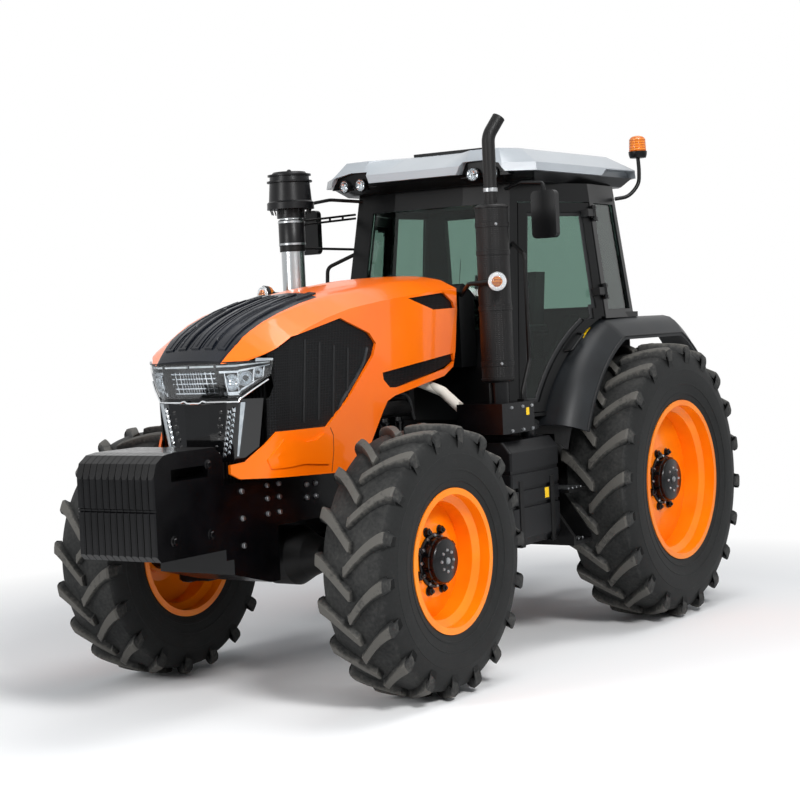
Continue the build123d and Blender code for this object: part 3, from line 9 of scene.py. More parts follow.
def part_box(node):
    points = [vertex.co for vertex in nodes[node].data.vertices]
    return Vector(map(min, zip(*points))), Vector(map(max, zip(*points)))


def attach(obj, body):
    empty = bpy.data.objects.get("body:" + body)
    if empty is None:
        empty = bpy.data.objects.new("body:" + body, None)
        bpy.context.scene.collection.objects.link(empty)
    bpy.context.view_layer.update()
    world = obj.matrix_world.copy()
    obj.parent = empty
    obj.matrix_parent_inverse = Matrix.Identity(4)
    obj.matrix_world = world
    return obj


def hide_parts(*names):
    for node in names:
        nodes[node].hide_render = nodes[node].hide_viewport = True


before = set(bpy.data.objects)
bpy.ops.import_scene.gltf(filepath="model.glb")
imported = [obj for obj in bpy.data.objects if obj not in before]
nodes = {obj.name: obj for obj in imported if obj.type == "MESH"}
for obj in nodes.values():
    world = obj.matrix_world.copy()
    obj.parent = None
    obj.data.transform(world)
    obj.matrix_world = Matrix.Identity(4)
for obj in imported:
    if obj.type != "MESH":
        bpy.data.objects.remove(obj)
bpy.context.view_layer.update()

scene = bpy.context.scene

# ---------------------------------------------------------------- camera
# A long lens stands about nine metres ahead of the frame's origin, six to its left and two above the ground. It
# looks slightly down and has a small roll.
camera = bpy.data.objects.new("camera", bpy.data.cameras.new("camera"))
scene.collection.objects.link(camera)
scene.camera = camera
camera.data.lens = 81.89
camera.data.sensor_width = 36
camera.data.clip_end = 200
yaw = 3.737
pitch = -0.0444
roll = -0.0457
ahead = Vector((math.cos(yaw) * math.cos(pitch), math.sin(yaw) * math.cos(pitch), math.sin(pitch)))
level_right = ahead.cross(Vector((0, 0, 1))).normalized()
level_up = level_right.cross(ahead)
right = level_right * math.cos(roll) + level_up * math.sin(roll)
up = level_up * math.cos(roll) - level_right * math.sin(roll)
axes = Matrix((right, up, -ahead)).transposed().to_4x4()
eye = (9.151, 6.148, 1.9825)
camera.matrix_world = Matrix.Translation(eye) @ axes

# ---------------------------------------------------------------- floor and studio light
# A wide pale studio floor fades into a white wall beyond the tractor's shadow. Big soft lamps stand to the left,
# overhead and ahead.


def linear(code):
    """An sRGB hex colour as linear red, green, blue and alpha."""
    parts = [int(code[i:i + 2], 16) / 255 for i in (1, 3, 5)]
    return [c / 12.92 if c <= 0.04045 else ((c + 0.055) / 1.055) ** 2.4 for c in parts] + [1]


def add(tree, kind, feeds=None, stops=(), **settings):
    """One shader node with its settings. feeds gives each input a value, or the output that feeds it."""
    item = tree.nodes.new(kind)
    for key, value in settings.items():
        setattr(item, key, value)
    for key, value in (feeds or {}).items():
        if isinstance(value, bpy.types.NodeSocket):
            tree.links.new(value, item.inputs[key])
        else:
            item.inputs[key].default_value = value
    for count, (place, code) in enumerate(stops):
        stop = item.color_ramp.elements[count] if count < 2 else item.color_ramp.elements.new(place)
        stop.position = place
        stop.color = linear(code)
    return item


def finish_of(name, colour, **sockets):
    """A material with a principled shader in one colour: itself, its tree, its shader and its place in metres."""
    made = bpy.data.materials.new(name)
    made.use_nodes = True
    tree = made.node_tree
    tree.nodes.clear()
    shader = add(tree, "ShaderNodeBsdfPrincipled", {key.replace("_", " "): value for key, value in sockets.items()})
    shader.inputs["Base Color"].default_value = linear(colour)
    add(tree, "ShaderNodeOutputMaterial", {"Surface": shader.outputs[0]})
    return made, tree, shader, add(tree, "ShaderNodeTexCoord").outputs["Object"]


def dress(tree, shader, height, depth, strength, stops=(), pattern=None):
    """Relief that follows one pattern, and colours that follow it or another one."""
    if stops:
        tone = add(tree, "ShaderNodeValToRGB", {"Fac": pattern or height}, stops=stops)
        tree.links.new(tone.outputs["Color"], shader.inputs["Base Color"])
    bump = add(tree, "ShaderNodeBump", {"Height": height, "Distance": depth, "Strength": strength})
    tree.links.new(bump.outputs[0], shader.inputs["Normal"])


def mottled(name, colour, size_mm, colours, grain_mm, depth_mm, roughness, **sockets):
    """A material with slow change of colour and roughness and a fine relief, all at real sizes."""
    made, tree, shader, place = finish_of(name, colour, **sockets)
    cloud = {"Vector": place, "Scale": 1000 / size_mm, "Detail": 4.0}
    grain = {"Vector": place, "Scale": 1000 / grain_mm, "Detail": 3.0}
    slow, fine = [add(tree, "ShaderNodeTexNoise", feeds).outputs["Fac"] for feeds in (cloud, grain)]
    dress(tree, shader, fine, depth_mm / 1000, 0.8, [(0.3, colours[0]), (0.7, colours[1])], slow)
    spread = add(tree, "ShaderNodeMapRange", {"Value": slow, "To Min": roughness[0], "To Max": roughness[1]})
    tree.links.new(spread.outputs[0], shader.inputs["Roughness"])
    return made


floor_paint, tree, shader, place = finish_of("studio_floor_paint", "#F4F4F4", Roughness=0.9)
away = add(tree, "ShaderNodeVectorMath", {0: place}, operation="LENGTH").outputs["Value"]
fade = add(tree, "ShaderNodeMapRange", {"Value": away, "From Min": 3.3, "From Max": 5.2}).outputs["Result"]
seen = add(tree, "ShaderNodeLightPath")
white = add(tree, "ShaderNodeEmission", {"Color": (1, 1, 1, 1), "Strength": 1.0})
blend = add(tree, "ShaderNodeMixShader", {0: fade, 1: shader.outputs[0], 2: white.outputs[0]})
direct = add(tree, "ShaderNodeMixShader",
             {0: seen.outputs["Is Camera Ray"], 1: shader.outputs[0], 2: blend.outputs[0]})
tree.links.new(direct.outputs[0], tree.nodes["Material Output"].inputs["Surface"])

floor_mesh = bpy.data.meshes.new("floor")
reach = 30
floor_mesh.from_pydata([(-reach, -reach, 0), (reach, -reach, 0), (reach, reach, 0), (-reach, reach, 0)], [],
                       [(0, 1, 2, 3)])
floor_mesh.materials.append(floor_paint)
floor = bpy.data.objects.new("floor", floor_mesh)
scene.collection.objects.link(floor)

world = bpy.data.worlds.new("studio")
scene.world = world
world.use_nodes = True
tree = world.node_tree
tree.nodes.clear()
seen = add(tree, "ShaderNodeLightPath")
passing = add(tree, "ShaderNodeMath", {0: seen.outputs["Is Camera Ray"], 1: seen.outputs["Is Transmission Ray"]},
              operation="MAXIMUM")
passing = add(tree, "ShaderNodeMath", {0: passing.outputs[0], 1: seen.outputs["Is Glossy Ray"]},
              operation="MAXIMUM")
soft = add(tree, "ShaderNodeBackground", {"Color": linear("#E9EEF4"), "Strength": 0.42})
bright = add(tree, "ShaderNodeBackground", {"Color": (1, 1, 1, 1), "Strength": 1.0})
mixed = add(tree, "ShaderNodeMixShader", {0: passing.outputs[0], 1: soft.outputs[0], 2: bright.outputs[0]})
add(tree, "ShaderNodeOutputWorld", {"Surface": mixed.outputs[0]})


def soft_lamp(name, place, aim, size, power):
    """A large square studio lamp pointed at one spot."""
    data = bpy.data.lights.new(name, "AREA")
    data.size = size
    data.energy = power
    lamp = bpy.data.objects.new(name, data)
    scene.collection.objects.link(lamp)
    lamp.location = place
    lamp.rotation_mode = "QUATERNION"
    lamp.rotation_quaternion = (Vector(aim) - Vector(place)).to_track_quat("-Z", "Y")


soft_lamp("key_lamp", (5.5, 8.0, 7.5), (0, 0, 1.2), 2.4, 860)
soft_lamp("top_lamp", (-1.0, 2.0, 9.0), (0, 0, 1.0), 4.0, 280)
soft_lamp("front_lamp", (10.0, -3.0, 4.5), (1.0, 0, 1.2), 3.0, 380)
scene.view_settings.view_transform = "Standard"

# ---------------------------------------------------------------- tyres
# Radial farm tyres with tall angled bars, moulded in black rubber. Painted light and shade: the bars' faces are
# painted brown grey and lighter, and their feet, heels and the shoulders darker, broken up by noise. The side walls
# have raised
# mould rings. Each is one closed mesh: a turned carcass and its bars.


def grid_faces(rows, columns, ring=False, closed=True):
    """Faces over rows of corners. ring joins the last row to the first, and closed the last column to the first."""
    faces = []
    for row in range(rows if ring else rows - 1):
        for column in range(columns if closed else columns - 1):
            here, above = row * columns, (row + 1) % rows * columns
            after = (column + 1) % columns
            faces.append((here + column, here + after, above + after, above + column))
    return faces


def turned(profile, centre, axis, segments, loop=False):
    """Corners and faces of an outline of (distance along the axis, radius), turned about that axis."""
    along = Vector(axis).normalized()
    side = along.orthogonal().normalized()
    other = along.cross(side)
    corners = []
    for step in range(segments):
        turn = 2 * math.pi * step / segments
        outward = side * math.cos(turn) + other * math.sin(turn)
        corners.extend(Vector(centre) + along * a + outward * r for a, r in profile)
    rows = len(profile)
    faces = grid_faces(segments, rows, ring=True, closed=loop)
    if not loop:
        faces.append(tuple(step * rows for step in reversed(range(segments))))
        faces.append(tuple(step * rows + rows - 1 for step in range(segments)))
    return corners, faces


def put_in_scene(name, parts, finish, body="chassis", smooth=35):
    """Meshes of corners and faces, joined as one piece that rides on one of the tractor's bodies."""
    corners = []
    faces = []
    for some_corners, some_faces in parts:
        first = len(corners)
        corners.extend(tuple(c) for c in some_corners)
        faces.extend(tuple(first + i for i in face) for face in some_faces)
    mesh = bpy.data.meshes.new(name)
    mesh.from_pydata(corners, [], faces)
    mesh.materials.append(finish)
    shape = bmesh.new()
    shape.from_mesh(mesh)
    bmesh.ops.recalc_face_normals(shape, faces=shape.faces)
    shape.to_mesh(mesh)
    shape.free()
    for face in mesh.polygons:
        face.use_smooth = True
    mesh.set_sharp_from_angle(angle=math.radians(smooth))
    piece = bpy.data.objects.new(name, mesh)
    scene.collection.objects.link(piece)
    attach(piece, body)
    return piece


# Moulded tyre rubber: matt and near black, with painted light and shade: brown grey on the bars' faces, darker at
# their feet.
tyre_rubber, tree, shader, place = finish_of("moulded_tyre_rubber", "#151515", Roughness=0.66, IOR=1.5,
                                             Specular_IOR_Level=0.25)
# Painted light and shade: the point attribute read here is high on the bars' faces and low at their feet, heels and
# the shoulders.
painted_light = add(tree, "ShaderNodeAttribute", attribute_name="painted_light").outputs["Fac"]
broad_noise = add(tree, "ShaderNodeTexNoise", {"Vector": place, "Scale": 7.0, "Detail": 6.0}).outputs["Fac"]
fine_noise = add(tree, "ShaderNodeTexNoise", {"Vector": place, "Scale": 55.0, "Detail": 5.0}).outputs["Fac"]
patchy = add(tree, "ShaderNodeMath", {0: broad_noise, 1: fine_noise}, operation="ADD").outputs[0]
lit_and_shaded = add(tree, "ShaderNodeMath", {0: painted_light, 1: patchy}, operation="MULTIPLY").outputs[0]
skin = add(tree, "ShaderNodeTexNoise", {"Vector": place, "Scale": 280.0, "Detail": 4.0}).outputs["Fac"]
dress(tree, shader, skin, 0.0006, 0.7, [(0.12, "#0D0E0E"), (0.95, "#54524E"), (0.40, "#191A1A"), (0.62, "#2E2E2D")],
      lit_and_shaded)

# Bars on each half of the tread, bar height, bar width across its face, rim radius
TYRES = {"rear": (20, 0.040, 0.056, 0.508), "front": (18, 0.036, 0.050, 0.381)}


def lugged_tyre(name, axle, body):
    """Carcass and bars of one tyre, in the place of its CAD solid."""
    low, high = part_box(name)
    centre = (low + high) / 2
    lugs, lug_height, lug_width, rim = TYRES[axle]
    radius = (high.z - low.z) / 2
    half = (high.y - low.y) / 2 - 0.003
    tread = radius - lug_height
    wall = tread - rim
    # Side wall from the tread's middle to the bead: share of the half width, distance from the axle
    side = [(0.30, tread), (0.58, tread - 0.004), (0.80, tread - 0.018), (0.90, tread - 0.045),
            (0.955, tread - 0.085), (0.985, rim + wall * 0.62), (0.990, rim + wall * 0.60),
            (0.998, rim + wall * 0.595),
            (1.0, rim + wall * 0.50), (0.998, rim + wall * 0.40), (0.985, rim + wall * 0.33),
            (0.992, rim + wall * 0.325), (0.988, rim + wall * 0.30), (0.975, rim + wall * 0.295),
            (0.955, rim + wall * 0.22), (0.935, rim + wall * 0.15), (0.945, rim + wall * 0.145),
            (0.938, rim + wall * 0.115), (0.918, rim + wall * 0.11), (0.885, rim + wall * 0.05),
            (0.868, rim + wall * 0.015), (0.85, rim - 0.004), (0.80, rim - 0.012)]
    left = [(half * y, r) for y, r in side]
    profile = [(-y, r) for y, r in reversed(left)] + left
    parts = [turned(profile, centre, (0, 1, 0), 120, loop=True)]
    # Painted shade: the carcass is darker on the shoulders and side walls than across the tread.
    painted_light = [0.34 if abs(c.y - centre.y) > half * 0.86 else 0.5 for c in parts[0][0]]

    edge = half * 2 * 0.47
    run = edge * 0.9 / radius
    wide = lug_width / 2 / radius
    # Each station along a bar: share of its length, how far its face lies below the full radius, extra width
    stations = [(-0.04, 0.004, 1.0), (0.0, 0.0, 1.0), (0.12, 0.0, 1.0), (0.3, 0.001, 1.02), (0.5, 0.003, 1.05),
                (0.7, 0.006, 1.10), (0.86, 0.010, 1.16), (0.97, 0.015, 1.2), (1.0, 0.022, 1.18)]
    # Steps of a bar's heel down the shoulder: drop below the full radius, share of the edge, width
    heel_steps = [(0.030, 1.02, 1.16), (0.047, 1.035, 1.12), (0.052, 1.045, 0.98), (0.080, 1.05, 0.92),
                  (0.118, 1.03, 0.80)]
    pitch = 2 * math.pi / lugs
    for count in range(lugs * 2):
        hand = 1 if count % 2 == 0 else -1
        start = pitch * count / 2
        corners = []
        for share, drop, extra in stations:
            y = -0.008 + (edge + 0.008) * share
            bend = 1 - (1 - min(max(share, 0), 1)) ** 1.32
            middle = start + run / 2 - run * bend
            foot = tread - 0.012 - 0.03 * max(0, share - 0.8) * 5
            flat = radius - drop
            w = wide * extra
            for offset, r in ((-w * 1.55, foot), (-w * 1.10, flat - 0.010), (-w * 0.94, flat - 0.001), (0, flat),
                              (w * 0.94, flat - 0.001), (w * 1.10, flat - 0.010), (w * 1.55, foot)):
                turn = middle + offset
                corners.append((centre.x + r * math.sin(turn), centre.y + hand * y, centre.z + r * math.cos(turn)))
            # Painted light and shade across each bar: darkest at its feet, lightest on its face.
            painted_light.extend((0.35, 0.75, 1.0, 1.05, 1.0, 0.75, 0.35))
        for drop, share, taper in heel_steps:
            middle = start - run / 2
            flat = radius - drop
            for offset, r in ((-1.5, flat - 0.014), (-1.15, flat), (-0.9, flat + 0.004), (0, flat + 0.005),
                              (0.9, flat + 0.004), (1.15, flat), (1.5, flat - 0.014)):
                turn = middle + offset * wide * taper
                corners.append((centre.x + r * math.sin(turn), centre.y + hand * edge * share,
                                centre.z + r * math.cos(turn)))
            # Painted shade on each heel: darker towards its edges.
            painted_light.extend((0.3, 0.5, 0.62, 0.62, 0.62, 0.5, 0.3))
        rows = len(stations) + len(heel_steps)
        faces = grid_faces(rows, 7, closed=False)
        faces.append(tuple(range(7)))
        faces.append(tuple((rows - 1) * 7 + column for column in reversed(range(7))))
        under = [row * 7 for row in range(rows)] + [row * 7 + 6 for row in reversed(range(rows))]
        faces.append(tuple(under))
        parts.append((corners, faces))
    piece = put_in_scene(f"{name}_rubber", parts, tyre_rubber, body, smooth=32)
    layer = piece.data.attributes.new("painted_light", "FLOAT", "POINT")
    layer.data.foreach_set("value", painted_light)
    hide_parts(name)


SIDES = (("left", 1), ("right", -1))
for axle in ("front", "rear"):
    for side, sign in SIDES:
        lugged_tyre(f"{axle}_tyre_{side}", axle, f"{axle}_wheel_{side}")

# ---------------------------------------------------------------- wheels
# Rolled and welded steel rims, powder coated orange. Black cast planet hubs are held on by steel nuts, with a
# ring of bolts round each cover and a plug in its middle.


def coat_cad(finish, *names):
    """Gives CAD nodes a finish in place of their plain packed colour."""
    for name in names:
        data = nodes[name].data
        data.materials.clear()
        data.materials.append(finish)


def soften(name, angle):
    """Shades a CAD node's facets as the smooth surface they stand for. Edges sharper than the angle stay sharp."""
    mesh = nodes[name].data
    around = {}
    for face in mesh.polygons:
        for i in face.vertices:
            key = tuple(round(c, 4) for c in mesh.vertices[i].co)
            around.setdefault(key, []).append((face.normal.copy(), face.area))
    limit = math.cos(math.radians(angle))
    normals = []
    for face in mesh.polygons:
        for i in face.vertices:
            key = tuple(round(c, 4) for c in mesh.vertices[i].co)
            total = Vector()
            for normal, area in around[key]:
                if normal.dot(face.normal) > limit:
                    total += normal * area
            normals.append(total.normalized())
    for face in mesh.polygons:
        face.use_smooth = True
    mesh.normals_split_custom_set(normals)


def bolt_head(centre, axis, across, height):
    """A washer with a chamfered hexagon head on it."""
    centre = Vector(centre)
    r = across / 2 / math.cos(math.radians(30))
    washer = turned([(-0.001, across * 0.62), (0.0018, across * 0.62), (0.0022, across * 0.58)], centre, axis, 18)
    head = turned([(0.002, r), (height * 0.8, r), (height, r * 0.84)], centre, axis, 6)
    return [washer, head]


def circle(count, start=0):
    """Cosines and sines of evenly spread turns, from a starting angle in degrees."""
    turns = [math.radians(360 / count * step + start) for step in range(count)]
    return [(math.cos(turn), math.sin(turn)) for turn in turns]


def spokes(count, start=0):
    """Evenly spread directions across a wheel's axle."""
    return [Vector((a, 0, b)) for a, b in circle(count, start)]


# Powder coat: even and smooth, slightly soft at the edges of its reflections.
wheel_coat = mottled("orange_wheel_powder_coat", "#FF8400", 260, ("#F77A00", "#FF8C08"), 4.0, 0.10, (0.26, 0.36),
                     Roughness=0.3, IOR=1.5, Specular_IOR_Level=0.3, Coat_Weight=0.15, Coat_Roughness=0.1)
coat_cad(wheel_coat, "front_rim_left", "front_rim_right", "rear_rim_left", "rear_rim_right")

# Black gloss on a sand casting: deep black, with the casting's soft unevenness under the paint.
black_gloss = mottled("black_gloss_on_cast_iron", "#050506", 160, ("#030304", "#08080A"), 9.0, 0.5, (0.18, 0.3),
                      Roughness=0.22, IOR=1.5, Specular_IOR_Level=0.2, Coat_Weight=0.1, Coat_Roughness=0.08)

# Zinc plate: pale satin metal, faintly blotched.
zinc_plate = mottled("zinc_plated_steel", "#A3A6A8", 30, ("#8E9194", "#B4B6B8"), 2.0, 0.08, (0.25, 0.42),
                     Roughness=0.32, Metallic=1.0)

# Outward distance of the disc face from the tyre's middle, hub radius and hub length
HUBS = {"front": (0.0575, 0.118, 0.080), "rear": (0.055, 0.135, 0.075)}
for axle in ("front", "rear"):
    disc, hub, length = HUBS[axle]
    for side, sign in SIDES:
        low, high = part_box(f"{axle}_tyre_{side}")
        middle = (low + high) / 2
        body = f"{axle}_wheel_{side}"
        out = Vector((0, sign, 0))
        tip = disc + length
        cover = [(disc - 0.001, hub + 0.026), (disc + 0.009, hub + 0.026), (disc + 0.012, hub + 0.022),
                 (disc + 0.013, hub + 0.006), (disc + 0.030, hub + 0.003), (disc + 0.033, hub + 0.008),
                 (disc + 0.046, hub + 0.008), (disc + 0.050, hub + 0.003), (tip - 0.012, hub + 0.002),
                 (tip - 0.002, hub - 0.004), (tip + 0.003, hub - 0.012), (tip + 0.003, hub - 0.040),
                 (tip + 0.005, hub - 0.044), (tip + 0.005, 0.036), (tip + 0.008, 0.032), (tip + 0.008, 0.012)]
        parts = [turned(cover, middle, out, 64)]
        for spoke in spokes(12, 15):
            foot = spoke * (hub + 0.006) + out * (disc + 0.012)
            rib = spoke * (hub + 0.001) + out * (tip - 0.012) - foot
            parts.append(turned([(0, 0.006), (rib.length, 0.005)], middle + foot, rib, 8))
        put_in_scene(f"{axle}_hub_cover_{side}", parts, black_gloss, body)
        bolts = []
        for spoke in spokes(12):
            bolts += bolt_head(middle + out * (disc + 0.010) + spoke * (hub + 0.014), out, 0.016, 0.009)
        for spoke in spokes(8):
            bolts += bolt_head(middle + out * (tip + 0.004) + spoke * (hub - 0.062), out, 0.014, 0.008)
        bolts += bolt_head(middle + out * (tip + 0.006), out, 0.030, 0.010)
        put_in_scene(f"{axle}_hub_bolts_{side}", bolts, zinc_plate, body)
        nuts = []
        for spoke in spokes(8, 22.5):
            at = middle + out * disc + spoke * (hub + 0.048)
            nuts.append(turned([(-0.002, 0.026), (0.003, 0.026), (0.005, 0.023)], at, out, 24))
            nuts.append(turned([(0.004, 0.0215), (0.022, 0.0215), (0.026, 0.0175), (0.0275, 0.0145)], at, out, 6))
            nuts.append(turned([(0.024, 0.0095), (0.034, 0.0095), (0.036, 0.0075)], at, out, 14))
        put_in_scene(f"{axle}_wheel_nuts_{side}", nuts, black_gloss, body)

# ---------------------------------------------------------------- front axle, frame and weights
# Cast and welded iron in black gloss. The axle beam has bolted kingpin caps; the frame's side rails are held by
# rows of bolts; twelve cast weight plates hang on the carrier with two long clamping bolts.
coat_cad(black_gloss, "front_weights", "front_frame", "exhaust_bracket", "battery_box")

# Chassis enamel: black, a little duller than the gloss, with a film of dust.
chassis_black = mottled("black_chassis_enamel", "#08090A", 120, ("#060607", "#0F0F0F"), 8.0, 0.6, (0.34, 0.5),
                        Roughness=0.4, IOR=1.5, Specular_IOR_Level=0.2)
coat_cad(chassis_black, "front_axle", "knuckle_left", "knuckle_right", "transmission", "rear_axle", "engine_block",
         "drawbar", "lift_arms", "lower_links", "steps", "handrails")
coat_cad(zinc_plate, "lift_rods")

wheel_low, wheel_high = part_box("front_tyre_left")
kingpin_x = (wheel_low.x + wheel_high.x) / 2
hub_z = (wheel_low.z + wheel_high.z) / 2
kingpin_y = 0.720
knuckle_half_height = 0.168
cap_profile = [(-0.002, 0.050), (0.008, 0.050), (0.012, 0.045), (0.018, 0.020)]
caps = []
cap_bolts = []
for sign in (1, -1):
    for upward in (1, -1):
        at = Vector((kingpin_x, sign * kingpin_y, hub_z + upward * knuckle_half_height))
        caps.append(turned(cap_profile, at, (0, 0, upward), 32))
        for a, b in circle(4, 45):
            seat = at + Vector((0.036 * a, 0.036 * b, upward * 0.009))
            cap_bolts += bolt_head(seat, (0, 0, upward), 0.013, 0.007)
put_in_scene("kingpin_caps", caps, chassis_black)
put_in_scene("kingpin_cap_bolts", cap_bolts, zinc_plate)

frame_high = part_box("front_frame")[1]
# Bolts on a side rail: places along the tractor, heights
RAIL_BOLTS = [((0.42, 0.50), (1.10, 1.16)), ((1.30, 1.38), (1.05, 1.12)), ((1.62, 1.72), (1.00, 1.08, 1.15)),
              ((1.93,), (0.86, 1.00, 1.14))]
rail_bolts = []
for sign in (1, -1):
    for columns, heights in RAIL_BOLTS:
        for x in columns:
            for z in heights:
                rail_bolts += bolt_head((x, sign * frame_high.y, z), (0, sign, 0), 0.024, 0.013)
put_in_scene("frame_rail_bolts", rail_bolts, zinc_plate)

weights_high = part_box("front_weights")[1]
clamp_bolts = []
for sign in (1, -1):
    for x, z in ((2.19, 0.95), (2.19, 1.30), (2.47, 0.95)):
        at = (x, sign * (weights_high.y - 0.0005), z)
        clamp_bolts.append(turned([(-0.001, 0.026), (0.003, 0.026), (0.004, 0.024)], at, (0, sign, 0), 24))
        clamp_bolts += bolt_head((x, sign * (weights_high.y + 0.002), z), (0, sign, 0), 0.028, 0.012)
put_in_scene("weight_clamp_bolts", clamp_bolts, black_gloss)

# ---------------------------------------------------------------- engine bay
# A cast diesel engine in black enamel. Steel fuel pipes run from the injection pump to the head, two spin-on
# filters hang beside the block, and a loom in corrugated plastic runs along the top. The radiator is a plate core.


def soft_block(low, high, bevel, steps=2):
    """A block with rounded edges between two opposite corners, given in any order."""
    low, high = Vector(map(min, low, high)), Vector(map(max, low, high))
    shape = bmesh.new()
    bmesh.ops.create_cube(shape, size=1)
    for corner in shape.verts:
        corner.co = Vector([(low[i] + high[i]) / 2 + corner.co[i] * (high[i] - low[i]) for i in range(3)])
    bmesh.ops.bevel(shape, geom=shape.edges[:], offset=bevel, segments=steps, profile=0.6, affect="EDGES")
    shape.verts.ensure_lookup_table()
    corners = [corner.co.copy() for corner in shape.verts]
    faces = [tuple(corner.index for corner in face.verts) for face in shape.faces]
    shape.free()
    return corners, faces


def hose(points, radius, sides=14, ridge=0.0, pitch=0.0):
    """A round hose or pipe on a smooth line through the points, with rings of a given pitch if it is corrugated."""
    points = [Vector(p) for p in points]
    ends = [points[0] * 2 - points[1], *points, points[-1] * 2 - points[-2]]
    line = []
    for a, b, c, d in zip(ends, ends[1:], ends[2:], ends[3:]):
        steps = max(4, int((c - b).length / (pitch / 2 if pitch else 0.02)))
        for step in range(steps):
            t = step / steps
            line.append(((2 * b) + (c - a) * t + (2 * a - 5 * b + 4 * c - d) * t * t
                         + (3 * b - a - 3 * c + d) * t ** 3) / 2)
    line.append(points[-1])
    heading = (line[1] - line[0]).normalized()
    side = heading.orthogonal().normalized()
    corners = []
    for count, at in enumerate(line):
        ahead_at = line[min(count + 1, len(line) - 1)]
        behind_at = line[max(count - 1, 0)]
        heading = (ahead_at - behind_at).normalized()
        side = (side - heading * side.dot(heading)).normalized()
        other = heading.cross(side)
        r = radius + (ridge if count % 2 else 0)
        for step in range(sides):
            turn = 2 * math.pi * step / sides
            corners.append(at + (side * math.cos(turn) + other * math.sin(turn)) * r)
    faces = grid_faces(len(line), sides)
    faces.append(tuple(reversed(range(sides))))
    faces.append(tuple((len(line) - 1) * sides + step for step in range(sides)))
    return corners, faces


# Corrugated loom tube and hoses: black rubber and polyamide, satin, with fine mould lines.
black_rubber = mottled("extruded_black_rubber", "#101112", 40, ("#0D0E0F", "#17181A"), 1.5, 0.1, (0.48, 0.62),
                       Roughness=0.55, IOR=1.5, Specular_IOR_Level=0.35)

engine_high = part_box("engine_block")[1]
for side, sign in SIDES:
    wall = engine_high.y
    castings = []
    for z in (1.26, 1.33, 1.40, 1.47, 1.54, 1.61, 1.68):
        castings.append(soft_block((0.36, sign * (wall - 0.006), z), (1.46, sign * (wall + 0.010), z + 0.022),
                                   0.004))
    castings.append(soft_block((0.98, sign * (wall - 0.004), 1.27), (1.24, sign * (wall + 0.075), 1.42), 0.014))
    castings.append(turned([(0, 0.052), (0.05, 0.052), (0.056, 0.046), (0.075, 0.046), (0.08, 0.02)],
                           (1.24, sign * (wall + 0.036), 1.345), (1, 0, 0), 28))
    castings.append(soft_block((0.40, sign * (wall - 0.004), 1.44), (0.92, sign * (wall + 0.05), 1.52), 0.012))
    put_in_scene(f"engine_castings_{side}", castings, chassis_black)
    filters = []
    for x in (0.56, 0.70):
        at = (x, sign * (wall + 0.042), 1.235)
        filters.append(turned([(0, 0.030), (0.004, 0.038), (0.15, 0.038), (0.155, 0.041), (0.166, 0.041),
                               (0.170, 0.034), (0.19, 0.030)], at, (0, 0, 1), 32))
        for a, b in circle(12):
            foot = Vector(at) + Vector((0.0375 * a, 0.0375 * b, 0.01))
            filters.append(turned([(0, 0.0025), (0.03, 0.0025)], foot, (0, 0, 1), 6))
    put_in_scene(f"fuel_filters_{side}", filters, black_gloss)
    pipes = []
    for count in range(4):
        x = 1.02 + 0.055 * count
        y = sign * (wall + 0.04)
        pipes.append(hose([(x, y, 1.418), (x - 0.01, sign * (wall + 0.048), 1.47),
                           (x - 0.10 - 0.05 * count, sign * (wall + 0.044), 1.58),
                           (x - 0.12 - 0.06 * count, sign * (wall + 0.02), 1.70),
                           (x - 0.12 - 0.06 * count, sign * (wall - 0.01), 1.74)], 0.0042, 8))
    put_in_scene(f"fuel_pipes_{side}", pipes, zinc_plate)
    loom = [hose([(0.34, sign * (wall + 0.014), 1.40), (0.50, sign * (wall + 0.066), 1.55),
                  (0.80, sign * (wall + 0.056), 1.555), (1.05, sign * (wall + 0.03), 1.50),
                  (1.30, sign * (wall + 0.02), 1.56), (1.45, sign * (wall + 0.008), 1.52)],
                 0.012, 12, 0.0018, 0.007)]
    loom.append(hose([(0.36, sign * (wall + 0.008), 1.22), (0.60, sign * (wall + 0.10), 1.215),
                      (0.85, sign * (wall + 0.085), 1.205), (1.10, sign * (wall + 0.03), 1.225),
                      (1.40, sign * (wall + 0.006), 1.30)], 0.016, 12))
    put_in_scene(f"engine_loom_{side}", loom, black_rubber)

top = engine_high.z
top_castings = [soft_block((0.42, -0.115, top - 0.004), (1.42, 0.115, top + 0.028), 0.012, 3)]
for x in (0.55, 0.90, 1.25):
    top_castings.append(soft_block((x - 0.02, -0.125, top - 0.002), (x + 0.02, 0.125, top + 0.034), 0.006, 2))
top_castings.append(turned([(-0.002, 0.034), (0.05, 0.034), (0.054, 0.040), (0.068, 0.040), (0.072, 0.034)],
                           (0.70, -0.185, top), (0, 0, 1), 12))
put_in_scene("rocker_cover", top_castings, black_gloss)
cover_bolts = []
for x in (0.46, 0.72, 1.08, 1.38):
    for y in (-0.09, 0.09):
        cover_bolts += bolt_head((x, y, top + 0.027), (0, 0, 1), 0.013, 0.008)
put_in_scene("rocker_cover_bolts", cover_bolts, zinc_plate)
radiator_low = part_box("radiator")[0]
top_hose = [hose([(engine_high.x - 0.02, 0.13, 1.735), (engine_high.x + 0.05, 0.135, 1.752),
                  (radiator_low.x + 0.01, 0.14, 1.745)], 0.027, 18, 0.0016, 0.012)]
put_in_scene("radiator_top_hose", top_hose, black_rubber)


def wave_scale(width_mm):
    """The wave texture's scale at which a straight wave's crest and trough lie about this far apart."""
    return 1000 / width_mm / 6.28


# Radiator core: thin black fins between flat tubes, seen through the mesh.
fin_pack, tree, shader, place = finish_of("brazed_aluminium_fins", "#1A1B1C", Roughness=0.5, Metallic=0.6)
fins = add(tree, "ShaderNodeTexWave", {"Vector": place, "Scale": wave_scale(11.465)}, bands_direction="Y")
dress(tree, shader, fins.outputs["Fac"], 0.003, 0.8, [(0.2, "#060606"), (0.8, "#2A2B2D")])
coat_cad(fin_pack, "radiator")

